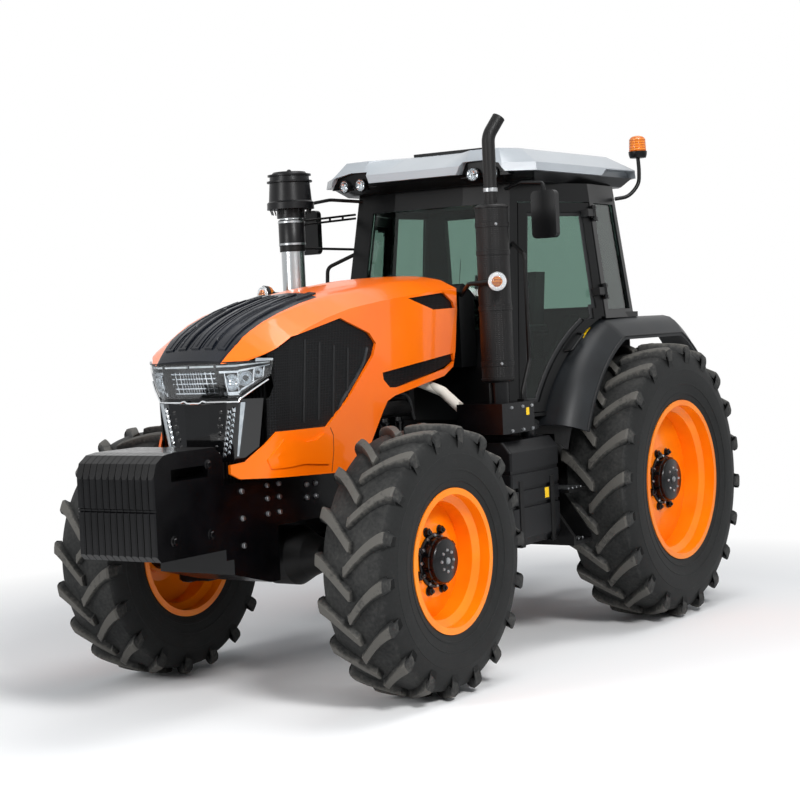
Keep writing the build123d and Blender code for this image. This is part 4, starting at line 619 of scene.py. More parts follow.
# ---------------------------------------------------------------- rear linkage and drawbar
# Forged links in black enamel, with turned steel pins at both ends of each lift rod. A cast turnbuckle with a bent
# handle sits at the middle of each rod.
link_pins = []
rod_low, rod_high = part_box("lift_rods")
x = (rod_low.x + rod_high.x) / 2
middle = (rod_low.z + rod_high.z) / 2
for sign in (1, -1):
    y = sign * (rod_high.y + 0.0005)
    for z in (rod_low.z + 0.028, rod_high.z - 0.028):
        link_pins.append(turned([(-0.001, 0.019), (0.006, 0.019), (0.009, 0.015)], (x, y, z), (0, sign, 0), 24))
        link_pins.append(turned([(0.006, 0.010), (0.020, 0.010), (0.022, 0.008)], (x, y, z), (0, sign, 0), 16))
put_in_scene("lift_rod_pins", link_pins, zinc_plate, "lift_rods")
turnbuckles = []
for sign in (1, -1):
    y = sign * (rod_high.y - 0.040)
    turnbuckles.append(turned([(-0.10, 0.026), (-0.095, 0.031), (-0.06, 0.031), (-0.055, 0.0275), (0.055, 0.0275),
                               (0.06, 0.031), (0.095, 0.031), (0.10, 0.026)], (x, y, middle), (0, 0, 1), 6))
    turnbuckles.append(hose([(x - 0.028, y, middle), (x - 0.07, y, middle + 0.01), (x - 0.085, y, middle - 0.05)],
                            0.006, 10))
put_in_scene("lift_rod_turnbuckles", turnbuckles, black_gloss, "lift_rods")

# ---------------------------------------------------------------- bonnet
# Pressed steel panels under glossy orange enamel. The lower front corners have a raised face, and thin black strips
# along their rear seams are painted shade, parting them from the main pressing. A dark trim follows the side
# opening.

# Bonnet enamel: deep orange under a clear coat, so it mirrors the lamps sharply.
bonnet_enamel = mottled("orange_bonnet_enamel", "#FF7400", 600, ("#FA6A00", "#FF7603"), 6.0, 0.05, (0.26, 0.36),
                        Roughness=0.3, IOR=1.5, Specular_IOR_Level=0.25, Coat_Weight=0.4, Coat_Roughness=0.04)
coat_cad(bonnet_enamel, "bonnet")
soften("bonnet", 24)


def surface_of(*names):
    """A search tree over some CAD nodes' own faces, for laying trim on them."""
    corners = []
    faces = []
    for name in names:
        data = nodes[name].data
        first = len(corners)
        corners += [corner.co.copy() for corner in data.vertices]
        faces += [tuple(first + i for i in face.vertices) for face in data.polygons]
    return BVHTree.FromPolygons(corners, faces)


bonnet_surface = surface_of("bonnet")


def on_side(surface, x, z, sign, lift):
    """The place on a side face at x and z, lifted off it, or None where there is no face."""
    hit = surface.ray_cast(Vector((x, sign * 2.0, z)), Vector((0, -sign, 0)))[0]
    return None if hit is None else hit + Vector((0, sign * lift, 0))


def strip_of(rows):
    """A closed strip through rows of four places, without the rows that miss the surface."""
    rows = [row for row in rows if None not in row]
    last = len(rows) * 4 - 4
    faces = grid_faces(len(rows), 4) + [(3, 2, 1, 0), (last, last + 1, last + 2, last + 3)]
    return [corner for row in rows for corner in row], faces


def side_strip(surface, path, sign, width, lift, drop):
    """A thin bevelled strip laid along a path of (x, z) points on a side face."""
    dense = []
    for (x0, z0), (x1, z1) in zip(path, path[1:]):
        steps = max(2, int(math.hypot(x1 - x0, z1 - z0) / 0.02))
        dense += [(x0 + (x1 - x0) * s / steps, z0 + (z1 - z0) * s / steps) for s in range(steps)]
    dense.append(path[-1])
    rows = []
    for count, (x, z) in enumerate(dense):
        x0, z0 = dense[max(count - 1, 0)]
        x1, z1 = dense[min(count + 1, len(dense) - 1)]
        length = math.hypot(x1 - x0, z1 - z0)
        across = ((z0 - z1) / length, (x1 - x0) / length)
        row = []
        for share, out in ((-0.5, -drop), (-0.36, lift), (0.36, lift), (0.5, -drop)):
            row.append(on_side(surface, x + across[0] * width * share, z + across[1] * width * share, sign, out))
        rows.append(row)
    return strip_of(rows)


def raised_panel(surface, outline, sign, lift, inset):
    """A flat pressed panel standing off a side face, set in from an outline of (x, z) points."""
    middle = Vector((sum(x for x, z in outline) / len(outline), sum(z for x, z in outline) / len(outline)))
    dense = []
    for (x0, z0), (x1, z1) in zip(outline, outline[1:] + outline[:1]):
        steps = max(2, int(math.hypot(x1 - x0, z1 - z0) / 0.03))
        dense += [Vector((x0 + (x1 - x0) * s / steps, z0 + (z1 - z0) * s / steps)) for s in range(steps)]
    # Rings from the foot up and then in to the middle: share of the way out from the middle, lift
    stages = [(1, -0.002), (1, 0.0005)] + [(share, lift) for share in (1, 0.82, 0.64, 0.46, 0.28, 0.12)]
    rings = []
    for share, out in stages:
        ring = []
        for at in dense:
            away = at - middle
            reach = (away.length - inset) * share
            place = middle + away.normalized() * reach
            ring.append(on_side(surface, place.x, place.y, sign, out))
        rings.append(ring)
    count = len(dense)
    corners = [top if here is None else here for ring in rings for here, top in zip(ring, rings[2])]
    faces = grid_faces(len(rings), count)
    faces.append(tuple((len(rings) - 1) * count + place for place in range(count)))
    faces.append(tuple(reversed(range(count))))
    return corners, faces


CORNER_PANEL = [(1.870, 1.292), (1.770, 1.405), (1.470, 1.375), (1.395, 1.405), (1.330, 1.360), (1.355, 1.222),
                (1.850, 1.240)]
PANEL_SEAM_SHADE = [(1.372, 1.462), (1.320, 1.382), (1.318, 1.300), (1.338, 1.186)]
for side, sign in SIDES:
    put_in_scene(f"bonnet_corner_panel_{side}", [raised_panel(bonnet_surface, CORNER_PANEL, sign, 0.011, 0.020)],
                 bonnet_enamel, "bonnet", smooth=12)
    # Painted shade: a thin black band in the black rubber finish, laid on the pressing along the seam behind the
    # corner panel.
    gap = side_strip(bonnet_surface, PANEL_SEAM_SHADE, sign, 0.006, 0.0006, 0.002)
    put_in_scene(f"bonnet_painted_seam_shade_{side}", [gap], black_rubber, "bonnet")

# Ribbed insert and vents: dark blue-black ABS, moulded with a low gloss.
insert_abs = mottled("moulded_midnight_abs", "#080D16", 300, ("#060A12", "#0B111C"), 1.2, 0.06, (0.22, 0.32),
                     Roughness=0.26, IOR=1.5, Specular_IOR_Level=0.3)
coat_cad(insert_abs, "bonnet_insert")
soften("bonnet_insert", 24)
insert_surface = surface_of("bonnet_insert")
insert_low, insert_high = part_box("bonnet_insert")


def top_strip(surface, path, width, lift, drop):
    """A thin bevelled strip laid along (x, y) points on a top face."""
    rows = []
    for x, y in path:
        row = []
        for share, out in ((-0.5, -drop), (-0.3, lift), (0.3, lift), (0.5, -drop)):
            hit = surface.ray_cast(Vector((x, y + width * share, 4.0)), Vector((0, 0, -1)))[0]
            row.append(None if hit is None else hit + Vector((0, 0, out)))
        rows.append(row)
    return strip_of(rows)


fine_ribs = []
for count in range(11):
    y = (count - 5) * 0.040
    back = insert_low.x + 0.10 + 0.10 * abs(y) / 0.2
    path = [(back + (insert_high.x - 0.07 - back) * s / 40, y * (1 - 0.10 * s / 40)) for s in range(41)]
    fine_ribs.append(top_strip(insert_surface, path, 0.011, 0.0045, 0.002))
put_in_scene("bonnet_insert_fine_ribs", fine_ribs, insert_abs, "bonnet")

# Side mesh: punched steel sheet in black, 9 mm holes drawn at 14 mm so that they show.
mesh_steel, tree, shader, place = finish_of("punched_black_mesh", "#08090A", Roughness=0.42, IOR=1.5,
                                            Specular_IOR_Level=0.15)
flat = add(tree, "ShaderNodeVectorMath", {0: place, 1: (1, 0.0, 1)}, operation="MULTIPLY").outputs[0]
holes = add(tree, "ShaderNodeTexVoronoi", {"Vector": flat, "Scale": 1000 / 14, "Randomness": 0.0}, feature="F1")
rim_of_hole = add(tree, "ShaderNodeMapRange",
                  {"Value": holes.outputs["Distance"], "From Min": 0.30, "From Max": 0.40})
dress(tree, shader, rim_of_hole.outputs[0], 0.004, 0.9, [(0.0, "#010101"), (1.0, "#121315")])
coat_cad(mesh_steel, "bonnet_mesh")
mesh_surface = surface_of("bonnet_mesh")

# Painted trim on plastic: satin silver for the nose's blades, and gunmetal for the strip along the side opening.
silver_trim = mottled("satin_silver_trim", "#AEB4B8", 50, ("#9CA3A8", "#C2C8CC"), 1.0, 0.02, (0.2, 0.3),
                      Roughness=0.24, Metallic=0.85)
gunmetal_trim = mottled("gunmetal_painted_trim", "#3A3D40", 50, ("#303336", "#46494C"), 1.0, 0.02, (0.24, 0.34),
                        Roughness=0.28, Metallic=0.6)
OPENING_SWEEP = [(0.968, 1.835), (1.000, 1.760), (1.085, 1.668), (1.215, 1.560), (1.255, 1.500)]
for side, sign in SIDES:
    sweep = side_strip(mesh_surface, OPENING_SWEEP, sign, 0.020, 0.006, 0.002)
    put_in_scene(f"opening_silver_trim_{side}", [sweep], gunmetal_trim, "bonnet")
    bars = []
    for count in range(4):
        x = 1.15 + 0.13 * count
        path = [(x, 1.84 + 0.02 * count), (x + 0.02, 1.47)]
        bars.append(side_strip(mesh_surface, path, sign, 0.016, 0.004, 0.002))
    put_in_scene(f"mesh_stiffeners_{side}", bars, black_rubber, "bonnet")

# ---------------------------------------------------------------- headlamps and nose
# One lamp band runs across the nose: a clear moulded lens over a black housing with chromed bowls, ribs and white
# light guides. Chromed trim follows its lower edge, above a gloss black panel, two columns of cut lenses and two
# silver blades.

# Clear polycarbonate lens, tinted a touch grey by its hard coat.
clear_lens, tree, shader, place = finish_of("hard_coated_clear_lens", "#F2F5F7", Roughness=0.03, IOR=1.45,
                                            Transmission_Weight=1.0)
wave = add(tree, "ShaderNodeTexNoise", {"Vector": place, "Scale": 12.0}).outputs["Fac"]
dress(tree, shader, wave, 0.0005, 0.5)

# Vacuum chrome on plastic: a bright mirror, slightly wavy.
chrome = mottled("vacuum_chromed_abs", "#D9DCDE", 60, ("#CDD1D4", "#E6E8EA"), 12.0, 0.12, (0.05, 0.14),
                 Roughness=0.08, Metallic=1.0)

# Lamp housing: black plastic with a dull glaze, which throws the chrome forward.
housing_black = mottled("black_lamp_housing", "#0A0B0C", 40, ("#060707", "#121314"), 2.0, 0.05, (0.3, 0.42),
                        Roughness=0.35, IOR=1.5, Specular_IOR_Level=0.35)

# Light guide: milky white acrylic.
light_guide = mottled("milky_acrylic_guide", "#E8ECEE", 30, ("#DDE3E6", "#F4F6F7"), 3.0, 0.05, (0.15, 0.25),
                      Roughness=0.2, IOR=1.49)

lamp_low, lamp_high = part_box("headlamps")
# Outline of the lens seen from above, on one side: y and x at its lower edge, y and x at its upper edge
LENS = [(0.0, 1.972, 0.0, 2.021), (0.070, 1.971, 0.070, 2.020), (0.205, 1.957, 0.205, 2.006),
        (0.262, 1.927, 0.285, 1.962), (0.320, 1.880, 0.355, 1.893), (0.371, 1.834, 0.418, 1.826)]
# Past this y the lens's lower edge steps up and climbs outwards, by this much and at this slope
CLIMB_FROM, CLIMB_STEP, CLIMB_SLOPE = 0.262, 0.008, 0.78
LENS_BULGE = 0.006


def lens_point(t, share, depth):
    """A place on or behind the lens: t from the middle (0) to the end (1), share up it, depth behind it."""
    sign = -1 if t < 0 else 1
    along = min(abs(t), 0.9999) * (len(LENS) - 1)
    step = int(along)
    before, here, after = LENS[max(step - 1, 0)], LENS[step], LENS[step + 1]
    y_low, x_low, y_high, x_high = [a + (b - a) * (along - step) for a, b in zip(here, after)]
    height = lamp_high.z - lamp_low.z
    rise = (y_low - CLIMB_FROM) * CLIMB_SLOPE + CLIMB_STEP if y_low > CLIMB_FROM else 0
    start = rise / (height - CLIMB_SLOPE * (y_high - y_low))
    level = start + (1 - start) * share
    y = y_low + (y_high - y_low) * level
    x = x_low + (x_high - x_low) * level
    slope = Vector((after[0] - before[0], after[1] - before[1])).normalized()
    out = LENS_BULGE * math.sin(math.pi * share) - depth
    return Vector((x + slope.x * out, sign * (y - slope.y * out), lamp_low.z + height * level))


def lens_sheet(t0, t1, share0, share1, depth, thick, columns, rows):
    """A curved plate that follows the lens between two places along it and two up it."""
    corners = []
    for layer in (depth, depth + thick):
        for column in range(columns + 1):
            t = t0 + (t1 - t0) * column / columns
            for row in range(rows + 1):
                corners.append(lens_point(t, share0 + (share1 - share0) * row / rows, layer))
    stride = rows + 1
    back = (columns + 1) * stride
    front = grid_faces(columns + 1, stride, closed=False)
    edges = [(c * stride + r, (c + 1) * stride + r) for r in (0, rows) for c in range(columns)]
    edges += [(c * stride + r, c * stride + r + 1) for c in (0, columns) for r in range(rows)]
    sides = [(a, b, b + back, a + back) for a, b in edges]
    return corners, front + [tuple(i + back for i in face) for face in front] + sides


lens_piece = put_in_scene("headlamp_lens", [lens_sheet(-1, 1, 0.03, 0.97, 0.0, 0.003, 72, 8)], clear_lens,
                          "bonnet", smooth=60)
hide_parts("headlamps")
housing = [lens_sheet(-1, 1, 0.0, 1.0, 0.062, 0.02, 60, 3)]
housing.append(lens_sheet(-1, 1, 0.0, 0.045, 0.0, 0.075, 60, 1))
housing.append(lens_sheet(-1, 1, 0.955, 1.0, 0.0, 0.075, 60, 1))
for t0, t1 in ((-1.0, -0.985), (0.985, 1.0), (-0.36, -0.345), (0.345, 0.36)):
    housing.append(lens_sheet(t0, t1, 0.0, 1.0, 0.004, 0.07, 2, 3))
put_in_scene("headlamp_housing", housing, housing_black, "bonnet")

# Lamps from the middle outwards: place along the lens, share up it, bowl radius, projector radius
LAMPS = [(0.51, 0.45, 0.040, 0.017), (0.69, 0.46, 0.038, 0.016), (0.84, 0.50, 0.026, 0.011)]
bright = []
bulbs = []
for count in range(5):
    share = 0.16 + 0.13 * count
    bright.append(lens_sheet(-0.335, 0.335, share, share + 0.03, 0.030 + 0.004 * count, 0.03, 24, 1))
for count in range(14):
    t = -0.325 + 0.05 * count
    bright.append(lens_sheet(t, t + 0.008, 0.14, 0.74, 0.034, 0.03, 1, 4))
for sign in (1, -1):
    for share0, share1, t0, t1, depth in ((0.10, 0.20, 0.37, 0.97, 0.022), (0.70, 0.76, 0.37, 0.97, 0.018)):
        bright.append(lens_sheet(sign * t0, sign * t1, share0, share1, depth, 0.02, 16, 1))
    for t in (0.42, 0.60, 0.78, 0.90):
        bright.append(lens_sheet(sign * t, sign * (t + 0.012), 0.12, 0.74, 0.02, 0.035, 1, 4))
    for t, share, r, ball in LAMPS:
        at, bulb, deep = [lens_point(sign * t, share, depth) for depth in (0.030, 0.040, 0.060)]
        out = (at - deep).normalized()
        bowl = [(0.010, r), (0.004, r * 0.97), (-0.008, r * 0.80), (-0.020, r * 0.52), (-0.026, r * 0.22),
                (-0.029, r * 0.22), (-0.024, r * 0.56), (-0.010, r * 0.86), (0.0, r * 1.03), (0.010, r * 1.05)]
        bright.append(turned(bowl, at, out, 40, loop=True))
        dome = [(-0.010, ball * 0.9), (0, ball), (ball * 0.5, ball * 0.87), (ball * 0.87, ball * 0.5),
                (ball, ball * 0.05)]
        bulbs.append(turned(dome, bulb, out, 28))
put_in_scene("headlamp_reflectors", bright, chrome, "bonnet")

glow = [lens_sheet(sign * 0.03, sign * 0.96, 0.86, 0.91, 0.012, 0.012, 30, 1) for sign in (1, -1)]
put_in_scene("headlamp_light_guides", glow, light_guide, "bonnet")
put_in_scene("headlamp_projectors", bulbs, clear_lens, "bonnet", smooth=60)

# Gloss black ABS: a deep mirror black.
gloss_abs = mottled("gloss_black_abs", "#050506", 200, ("#040405", "#080809"), 9.0, 0.04, (0.06, 0.12),
                    Roughness=0.08, IOR=1.5, Coat_Weight=0.2)
coat_cad(gloss_abs, "grille")

trim = []
edge = [lens_point(t / 40, 0.0, -0.004) + Vector((0, 0, -0.012)) for t in range(-39, 40)]
middle_gap = 0.075
for sign in (1, -1):
    half_edge = sorted((at for at in edge if at.y * sign > middle_gap), key=lambda at: abs(at.y))
    first = half_edge[0]
    step_down = [Vector((first.x + 0.002, sign * y, first.z + rise))
                 for y, rise in ((0.0, -0.004), (0.040, -0.004), (0.062, 0.006))]
    trim.append(hose(step_down + half_edge, 0.0055, 10))
put_in_scene("headlamp_chrome_trim", trim, chrome, "bonnet")
blades = [lens_sheet(sign * 0.80, sign * 0.995, 0.965, 1.10, -0.003, 0.010, 10, 2) for sign in (1, -1)]
put_in_scene("headlamp_end_blades", blades, silver_trim, "bonnet", smooth=20)

upward = Vector((0, 0, 1))
square = ((-1, -1), (1, -1), (1, 1), (-1, 1))
jewels = []
blades = []
lattice = []
for sign in (1, -1):
    for row in range(9):
        share = (row + 0.5) / 9
        z = 1.318 + 0.250 * share
        y = 0.170 + 0.052 * share
        x = 1.9355 + 0.0015 * share
        for column in range(2):
            offset = (column - 0.5) * 0.020
            at = Vector((x - offset * 0.62, sign * (y + offset), z + (0.006 if column else -0.006)))
            out = Vector((0.85, sign * 0.53, 0)).normalized()
            across = Vector((-out.y, out.x, 0))
            corners = [at + across * 0.009 * a + upward * 0.012 * b for a, b in square]
            corners += [at + out * 0.010 + upward * 0.003, at - out * 0.004]
            faces = [(i, (i + 1) % 4, 4) for i in range(4)] + [((i + 1) % 4, i, 5) for i in range(4)]
            jewels.append((corners, faces))
    foot = Vector((1.9085, sign * 0.224, 1.318))
    head = Vector((1.9115, sign * 0.276, 1.596))
    out = Vector((0.80, sign * 0.60, 0)).normalized()
    across = Vector((-out.y, out.x, 0))
    corners = []
    for at, wide in ((foot, 0.007), (foot.lerp(head, 0.5), 0.012), (head, 0.017)):
        corners += [at - across * wide - out * 0.006, at - across * wide * 0.7 + out * 0.006,
                    at + across * wide * 0.7 + out * 0.006, at + across * wide - out * 0.006]
    blades.append((corners, [(0, 3, 2, 1), (8, 9, 10, 11)] + grid_faces(3, 4)))
put_in_scene("nose_cut_lenses", jewels, chrome, "bonnet", smooth=5)
put_in_scene("nose_silver_blades", blades, silver_trim, "bonnet")
cell = [(-0.0005, 0.0125), (0.0030, 0.0120), (0.0036, 0.0100)]
for row in range(7):
    for column in range(-6, 7):
        z = 1.330 + 0.036 * row
        y = column * 0.026 + (0.013 if row % 2 else 0)
        if abs(y) < 0.135 + (z - 1.33) * 0.16:
            lattice.append(turned(cell, (1.9465, y, z), (1, 0, 0), 6))
lattice.append(hose([(1.952, -0.215, 1.600), (1.953, -0.10, 1.592), (1.954, 0.0, 1.590), (1.953, 0.10, 1.592),
                     (1.952, 0.215, 1.600)], 0.006, 10))
lattice.append(hose([(1.948, -0.150, 1.312), (1.951, -0.10, 1.300), (1.952, 0.10, 1.300), (1.948, 0.150, 1.312)],
                    0.007, 10))
put_in_scene("nose_panel_lattice", lattice, gloss_abs, "bonnet")

# ---------------------------------------------------------------- cab frame, doors and glass
# Welded steel tube painted satin black, with glued safety glass in a light green tint. A rubber bead follows the
# edge of each door's pane, and a wiper lies at the foot of the windscreen.

# Satin black paint on sheet steel: smooth, with broad soft reflections.
cab_paint = mottled("satin_black_cab_paint", "#08090A", 400, ("#060708", "#0C0D0E"), 2.5, 0.05, (0.26, 0.36),
                    Roughness=0.3, IOR=1.5, Specular_IOR_Level=0.2)
coat_cad(cab_paint, "cab_frame", "door_left", "door_right", "cowl")

# Tinted safety glass: clear with a green cast and a very slight waviness.
tinted_glass, tree, shader, place = finish_of("green_tinted_safety_glass", "#9DB3AA", Roughness=0.0, IOR=1.3,
                                              Transmission_Weight=1.0, Specular_IOR_Level=0.5)
wave = add(tree, "ShaderNodeTexNoise", {"Vector": place, "Scale": 1.2, "Detail": 0.0}).outputs["Fac"]
dress(tree, shader, wave, 0.0004, 0.1)
coat_cad(tinted_glass, "cab_glass", "door_left_glass", "door_right_glass", "rear_window")


def pane_bead(name, sign, radius):
    """A rubber bead round the flat outer face of a side pane, from the pane's own corners."""
    data = nodes[name].data
    face = max(data.polygons, key=lambda p: p.area * (1 if p.normal.y * sign > 0 else 0))
    plane = face.normal.copy()
    base = face.center.dot(plane)
    rim_of = {}
    for polygon in data.polygons:
        if polygon.normal.dot(plane) < 0.999 or abs(polygon.center.dot(plane) - base) > 0.002:
            continue
        loop = [tuple(round(c, 4) for c in data.vertices[i].co) for i in polygon.vertices]
        for a, b in zip(loop, loop[1:] + loop[:1]):
            if rim_of.get((b, a)):
                del rim_of[(b, a)]
            else:
                rim_of[(a, b)] = True
    after = dict(rim_of.keys())
    start = next(iter(after))
    path = [start]
    while after.get(path[-1]) and after[path[-1]] != start and len(path) < 400:
        path.append(after[path[-1]])
    middle = sum((Vector(p) for p in path), Vector()) / len(path)
    corners = []
    for count, here in enumerate(path):
        here = Vector(here)
        before = Vector(path[count - 1])
        coming = Vector(path[(count + 1) % len(path)])
        one = (here - before).normalized()
        two = (coming - here).normalized()
        inward = (plane.cross(one) + plane.cross(two)).normalized()
        reach = 1 / max(0.35, inward.dot(plane.cross(one)))
        if inward.dot(middle - here) < 0:
            inward = -inward
        for share, out in ((-0.1, -0.002), (-0.1, 0.004), (0.3, 0.0055), (1.0, 0.004), (1.2, 0.0004)):
            corners.append(here + inward * radius * share * reach + plane * out)
    return corners, grid_faces(len(path), 5, ring=True, closed=False)


for side, sign in SIDES:
    put_in_scene(f"door_glass_bead_{side}", [pane_bead(f"door_{side}_glass", sign, 0.020)], black_rubber,
                 f"door_{side}")

cab_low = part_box("cab_frame")[0]
wall_ribs = []
for y in (-0.42, -0.21, 0.0, 0.21, 0.42):
    wall_ribs.append(soft_block((cab_low.x - 0.005, y - 0.028, 1.36), (cab_low.x + 0.002, y + 0.028, 1.78),
                                0.003, 2))
put_in_scene("rear_wall_ribs", wall_ribs, cab_paint)

wiper = [turned([(-0.004, 0.016), (0.012, 0.016), (0.018, 0.010)], (-0.176, 0.16, 2.05), (1, 0, 0.1), 20)]
wiper.append(hose([(-0.166, 0.16, 2.05), (-0.172, 0.02, 2.075), (-0.180, -0.16, 2.12)], 0.0055, 8))
wiper.append(hose([(-0.182, 0.14, 2.098), (-0.184, -0.14, 2.112), (-0.190, -0.44, 2.130)], 0.0065, 8))
put_in_scene("windscreen_wiper", wiper, black_rubber)

# ---------------------------------------------------------------- seat, console and steering wheel
# A sprung seat with foam cushions in dark woven cloth. The console and dash are moulded in grey plastic, and the
# steering wheel has a soft black rim on a steel column.

# Woven cloth: crossing dark blue-grey threads, 2.4 mm wide.
seat_cloth, tree, shader, place = finish_of("woven_seat_cloth", "#1F2328", Roughness=0.9, Sheen_Weight=0.25)
threads = {"Vector": place, "Scale": wave_scale(2.4), "Distortion": 0.4}
warp, weft = [add(tree, "ShaderNodeTexWave", threads, bands_direction=way).outputs["Fac"] for way in "YZ"]
weave = add(tree, "ShaderNodeMath", {0: warp, 1: weft}, operation="MULTIPLY").outputs[0]
dress(tree, shader, weave, 0.0006, 0.8, [(0.1, "#15181B"), (0.9, "#353B42")])

# Grained polypropylene: charcoal, matt, with a fine leather grain.
charcoal_pp = mottled("grained_charcoal_polypropylene", "#15171A", 200, ("#111315", "#1A1D20"), 1.6, 0.12,
                      (0.38, 0.5), Roughness=0.42, IOR=1.5, Specular_IOR_Level=0.25)
coat_cad(charcoal_pp, "console", "seat")

seat_low, seat_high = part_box("seat")


def cushion(name, low, high, tilt):
    """A foam cushion blown up from a boxy cover, between two corners, tilted about its lower rear edge."""
    corners, faces = soft_block(low, high, 0.03, 3)
    piece = put_in_scene(name, [(corners, faces)], seat_cloth, smooth=80)
    dense = piece.modifiers.new("dense", "REMESH")
    dense.mode = "VOXEL"
    dense.voxel_size = 0.012
    cloth = piece.modifiers.new("cloth", "CLOTH")
    cloth.settings.use_pressure = True
    cloth.settings.uniform_pressure_force = 4.0
    cloth.settings.effector_weights.gravity = 0.0
    cloth.settings.tension_stiffness = 40
    cloth.settings.compression_stiffness = 40
    cloth.settings.shear_stiffness = 20
    cloth.point_cache.frame_start = 1
    cloth.point_cache.frame_end = 20
    for frame_number in range(1, 21):
        scene.frame_set(frame_number)
        depsgraph = bpy.context.evaluated_depsgraph_get()
        piece.evaluated_get(depsgraph)
    blown = bpy.data.meshes.new_from_object(piece.evaluated_get(bpy.context.evaluated_depsgraph_get()))
    piece.modifiers.clear()
    blown.name = name
    low = Vector(low)
    high = Vector(high)
    # The furthest that the cloth may swell past its cover
    swell = 0.018
    for corner in blown.vertices:
        for axis in range(3):
            corner.co[axis] = min(max(corner.co[axis], low[axis] - swell), high[axis] + swell)
    piece.data = blown
    if not blown.materials:
        blown.materials.append(seat_cloth)
    for face in blown.polygons:
        face.use_smooth = True
    scene.frame_set(1)
    foot = Vector((low[0], 0, low[2]))
    turn = Matrix.Rotation(math.radians(tilt), 4, "Y")
    piece.data.transform(Matrix.Translation(foot) @ turn @ Matrix.Translation(-foot))
    return piece


cushion("seat_base_cushion", (seat_high.x - 0.49, -0.235, 1.672), (seat_high.x - 0.01, 0.235, 1.770), -3)
cushion("seat_back_cushion", (seat_low.x + 0.075, -0.215, 1.700), (seat_low.x + 0.185, 0.215, 2.225), -7.5)
for side, sign in SIDES:
    rest = [soft_block((-1.200, sign * 0.262, 1.862), (-0.860, sign * 0.320, 1.905), 0.014, 3),
            soft_block((-1.245, sign * 0.236, 1.842), (-1.160, sign * 0.300, 1.884), 0.010, 2)]
    put_in_scene(f"seat_arm_rest_{side}", rest, charcoal_pp)

wheel_axis = Vector((-0.42, 0, 0.90)).normalized()
wheel_centre = Vector((-0.590, 0, 2.085))
across_wheel = Vector((0, 1, 0))
grip, rim_radius = 0.016, 0.190
ring = [(grip * math.sin(t * math.pi / 5), rim_radius + grip * math.cos(t * math.pi / 5)) for t in range(10)]
controls = [turned(ring, wheel_centre, wheel_axis, 56, loop=True)]
controls.append(turned([(-0.03, 0.030), (-0.01, 0.045), (0.012, 0.045), (0.018, 0.036), (0.019, 0.010)],
                       wheel_centre, wheel_axis, 32))
for a, b in circle(3, 90):
    spoke = across_wheel * a + wheel_axis.cross(across_wheel) * b
    controls.append(hose([wheel_centre + spoke * 0.035, wheel_centre + spoke * 0.11 - wheel_axis * 0.006,
                          wheel_centre + spoke * 0.192], 0.008, 8))
put_in_scene("steering_wheel_rim", controls, black_rubber)
levers = []
for y, x, top in ((-0.34, -0.86, 1.98), (-0.40, -0.90, 1.94)):
    levers.append(hose([(x, y, 1.64), (x + 0.01, y, 1.80), (x + 0.04, y, top)], 0.006, 8))
    levers.append(turned([(-0.02, 0.010), (-0.005, 0.020), (0.015, 0.021), (0.028, 0.014), (0.031, 0.004)],
                         (x + 0.042, y, top), (0.2, 0, 1), 20))
put_in_scene("cab_levers", levers, black_rubber)
side_console = [soft_block((-1.16, -0.47, 1.368), (-0.72, -0.31, 1.66), 0.03, 3)]
put_in_scene("right_hand_console", side_console, charcoal_pp)

# ---------------------------------------------------------------- roof and lamps
# The roof is a pale grey moulded shell with a dark hatch. Its brim is black and carries the work lamps: chromed
# bowls behind clear lenses. Signal lamps are half amber, and the tail lamps are red.

# Pale gel coat: cool light grey, with a smooth gloss.
roof_gel = mottled("pale_grey_gel_coat", "#999FA5", 500, ("#949AA0", "#A0A6AB"), 5.0, 0.08, (0.26, 0.36),
                   Roughness=0.3, IOR=1.5, Coat_Weight=0.2, Coat_Roughness=0.1)
coat_cad(roof_gel, "roof_shell")
soften("roof_shell", 22)
coat_cad(cab_paint, "roof_brim", "mirrors")
for name in ("mirrors", "roof_brim", "muffler", "handrails", "intake_stack", "precleaner", "exhaust_pipe"):
    soften(name, 32)

hatch = []
roof_surface = surface_of("roof_shell")
for count in range(5):
    x = -0.60 - 0.16 * count
    hits = [roof_surface.ray_cast(Vector((x, -0.22 + 0.44 * step / 20, 4)), Vector((0, 0, -1)))[0]
            for step in range(21)]
    hatch.append(hose([hit + Vector((0, 0, 0.006)) for hit in hits], 0.008, 8))
put_in_scene("roof_hatch_ribs", hatch, cab_paint)

# Lamp glass, amber and red: clear mouldings with a fine prism pattern on the inside.
lamp_glass, tree, shader, place = finish_of("prismed_lamp_glass", "#EDF1F3", Roughness=0.05, IOR=1.3,
                                            Transmission_Weight=0.95)
prism = add(tree, "ShaderNodeTexWave", {"Vector": place, "Scale": wave_scale(9)},
            bands_direction="Y").outputs["Fac"]
dress(tree, shader, prism, 0.0015, 0.6)
amber_lens, tree, shader, place = finish_of("amber_acrylic_lens", "#F07A06", Roughness=0.12, IOR=1.45,
                                            Transmission_Weight=0.35)
prism = add(tree, "ShaderNodeTexWave", {"Vector": place, "Scale": wave_scale(8)},
            bands_direction="Z").outputs["Fac"]
dress(tree, shader, prism, 0.0015, 0.7, [(0.0, "#D05F00"), (1.0, "#FF9A2A")])
red_lens = mottled("red_acrylic_lens", "#B3120C", 12, ("#A30E08", "#D0221A"), 6.0, 0.6, (0.1, 0.2), Roughness=0.12,
                   IOR=1.45, Transmission_Weight=0.3)
coat_cad(red_lens, "lamps")

shell = bmesh.new()
shell.from_mesh(nodes["lamps"].data)
bmesh.ops.remove_doubles(shell, verts=shell.verts, dist=0.0001)
# The lamps' CAD solids, each as its box's two corners, found by following edges from corner to corner
waiting = dict.fromkeys(shell.verts)
islands = []
while waiting:
    group = [waiting.popitem()[0]]
    for corner in group:
        for edge in corner.link_edges:
            other = edge.other_vert(corner)
            if other in waiting:
                del waiting[other]
                group.append(other)
    islands.append([Vector([pick(v.co[i] for v in group) for i in range(3)]) for pick in (min, max)])
shell.free()

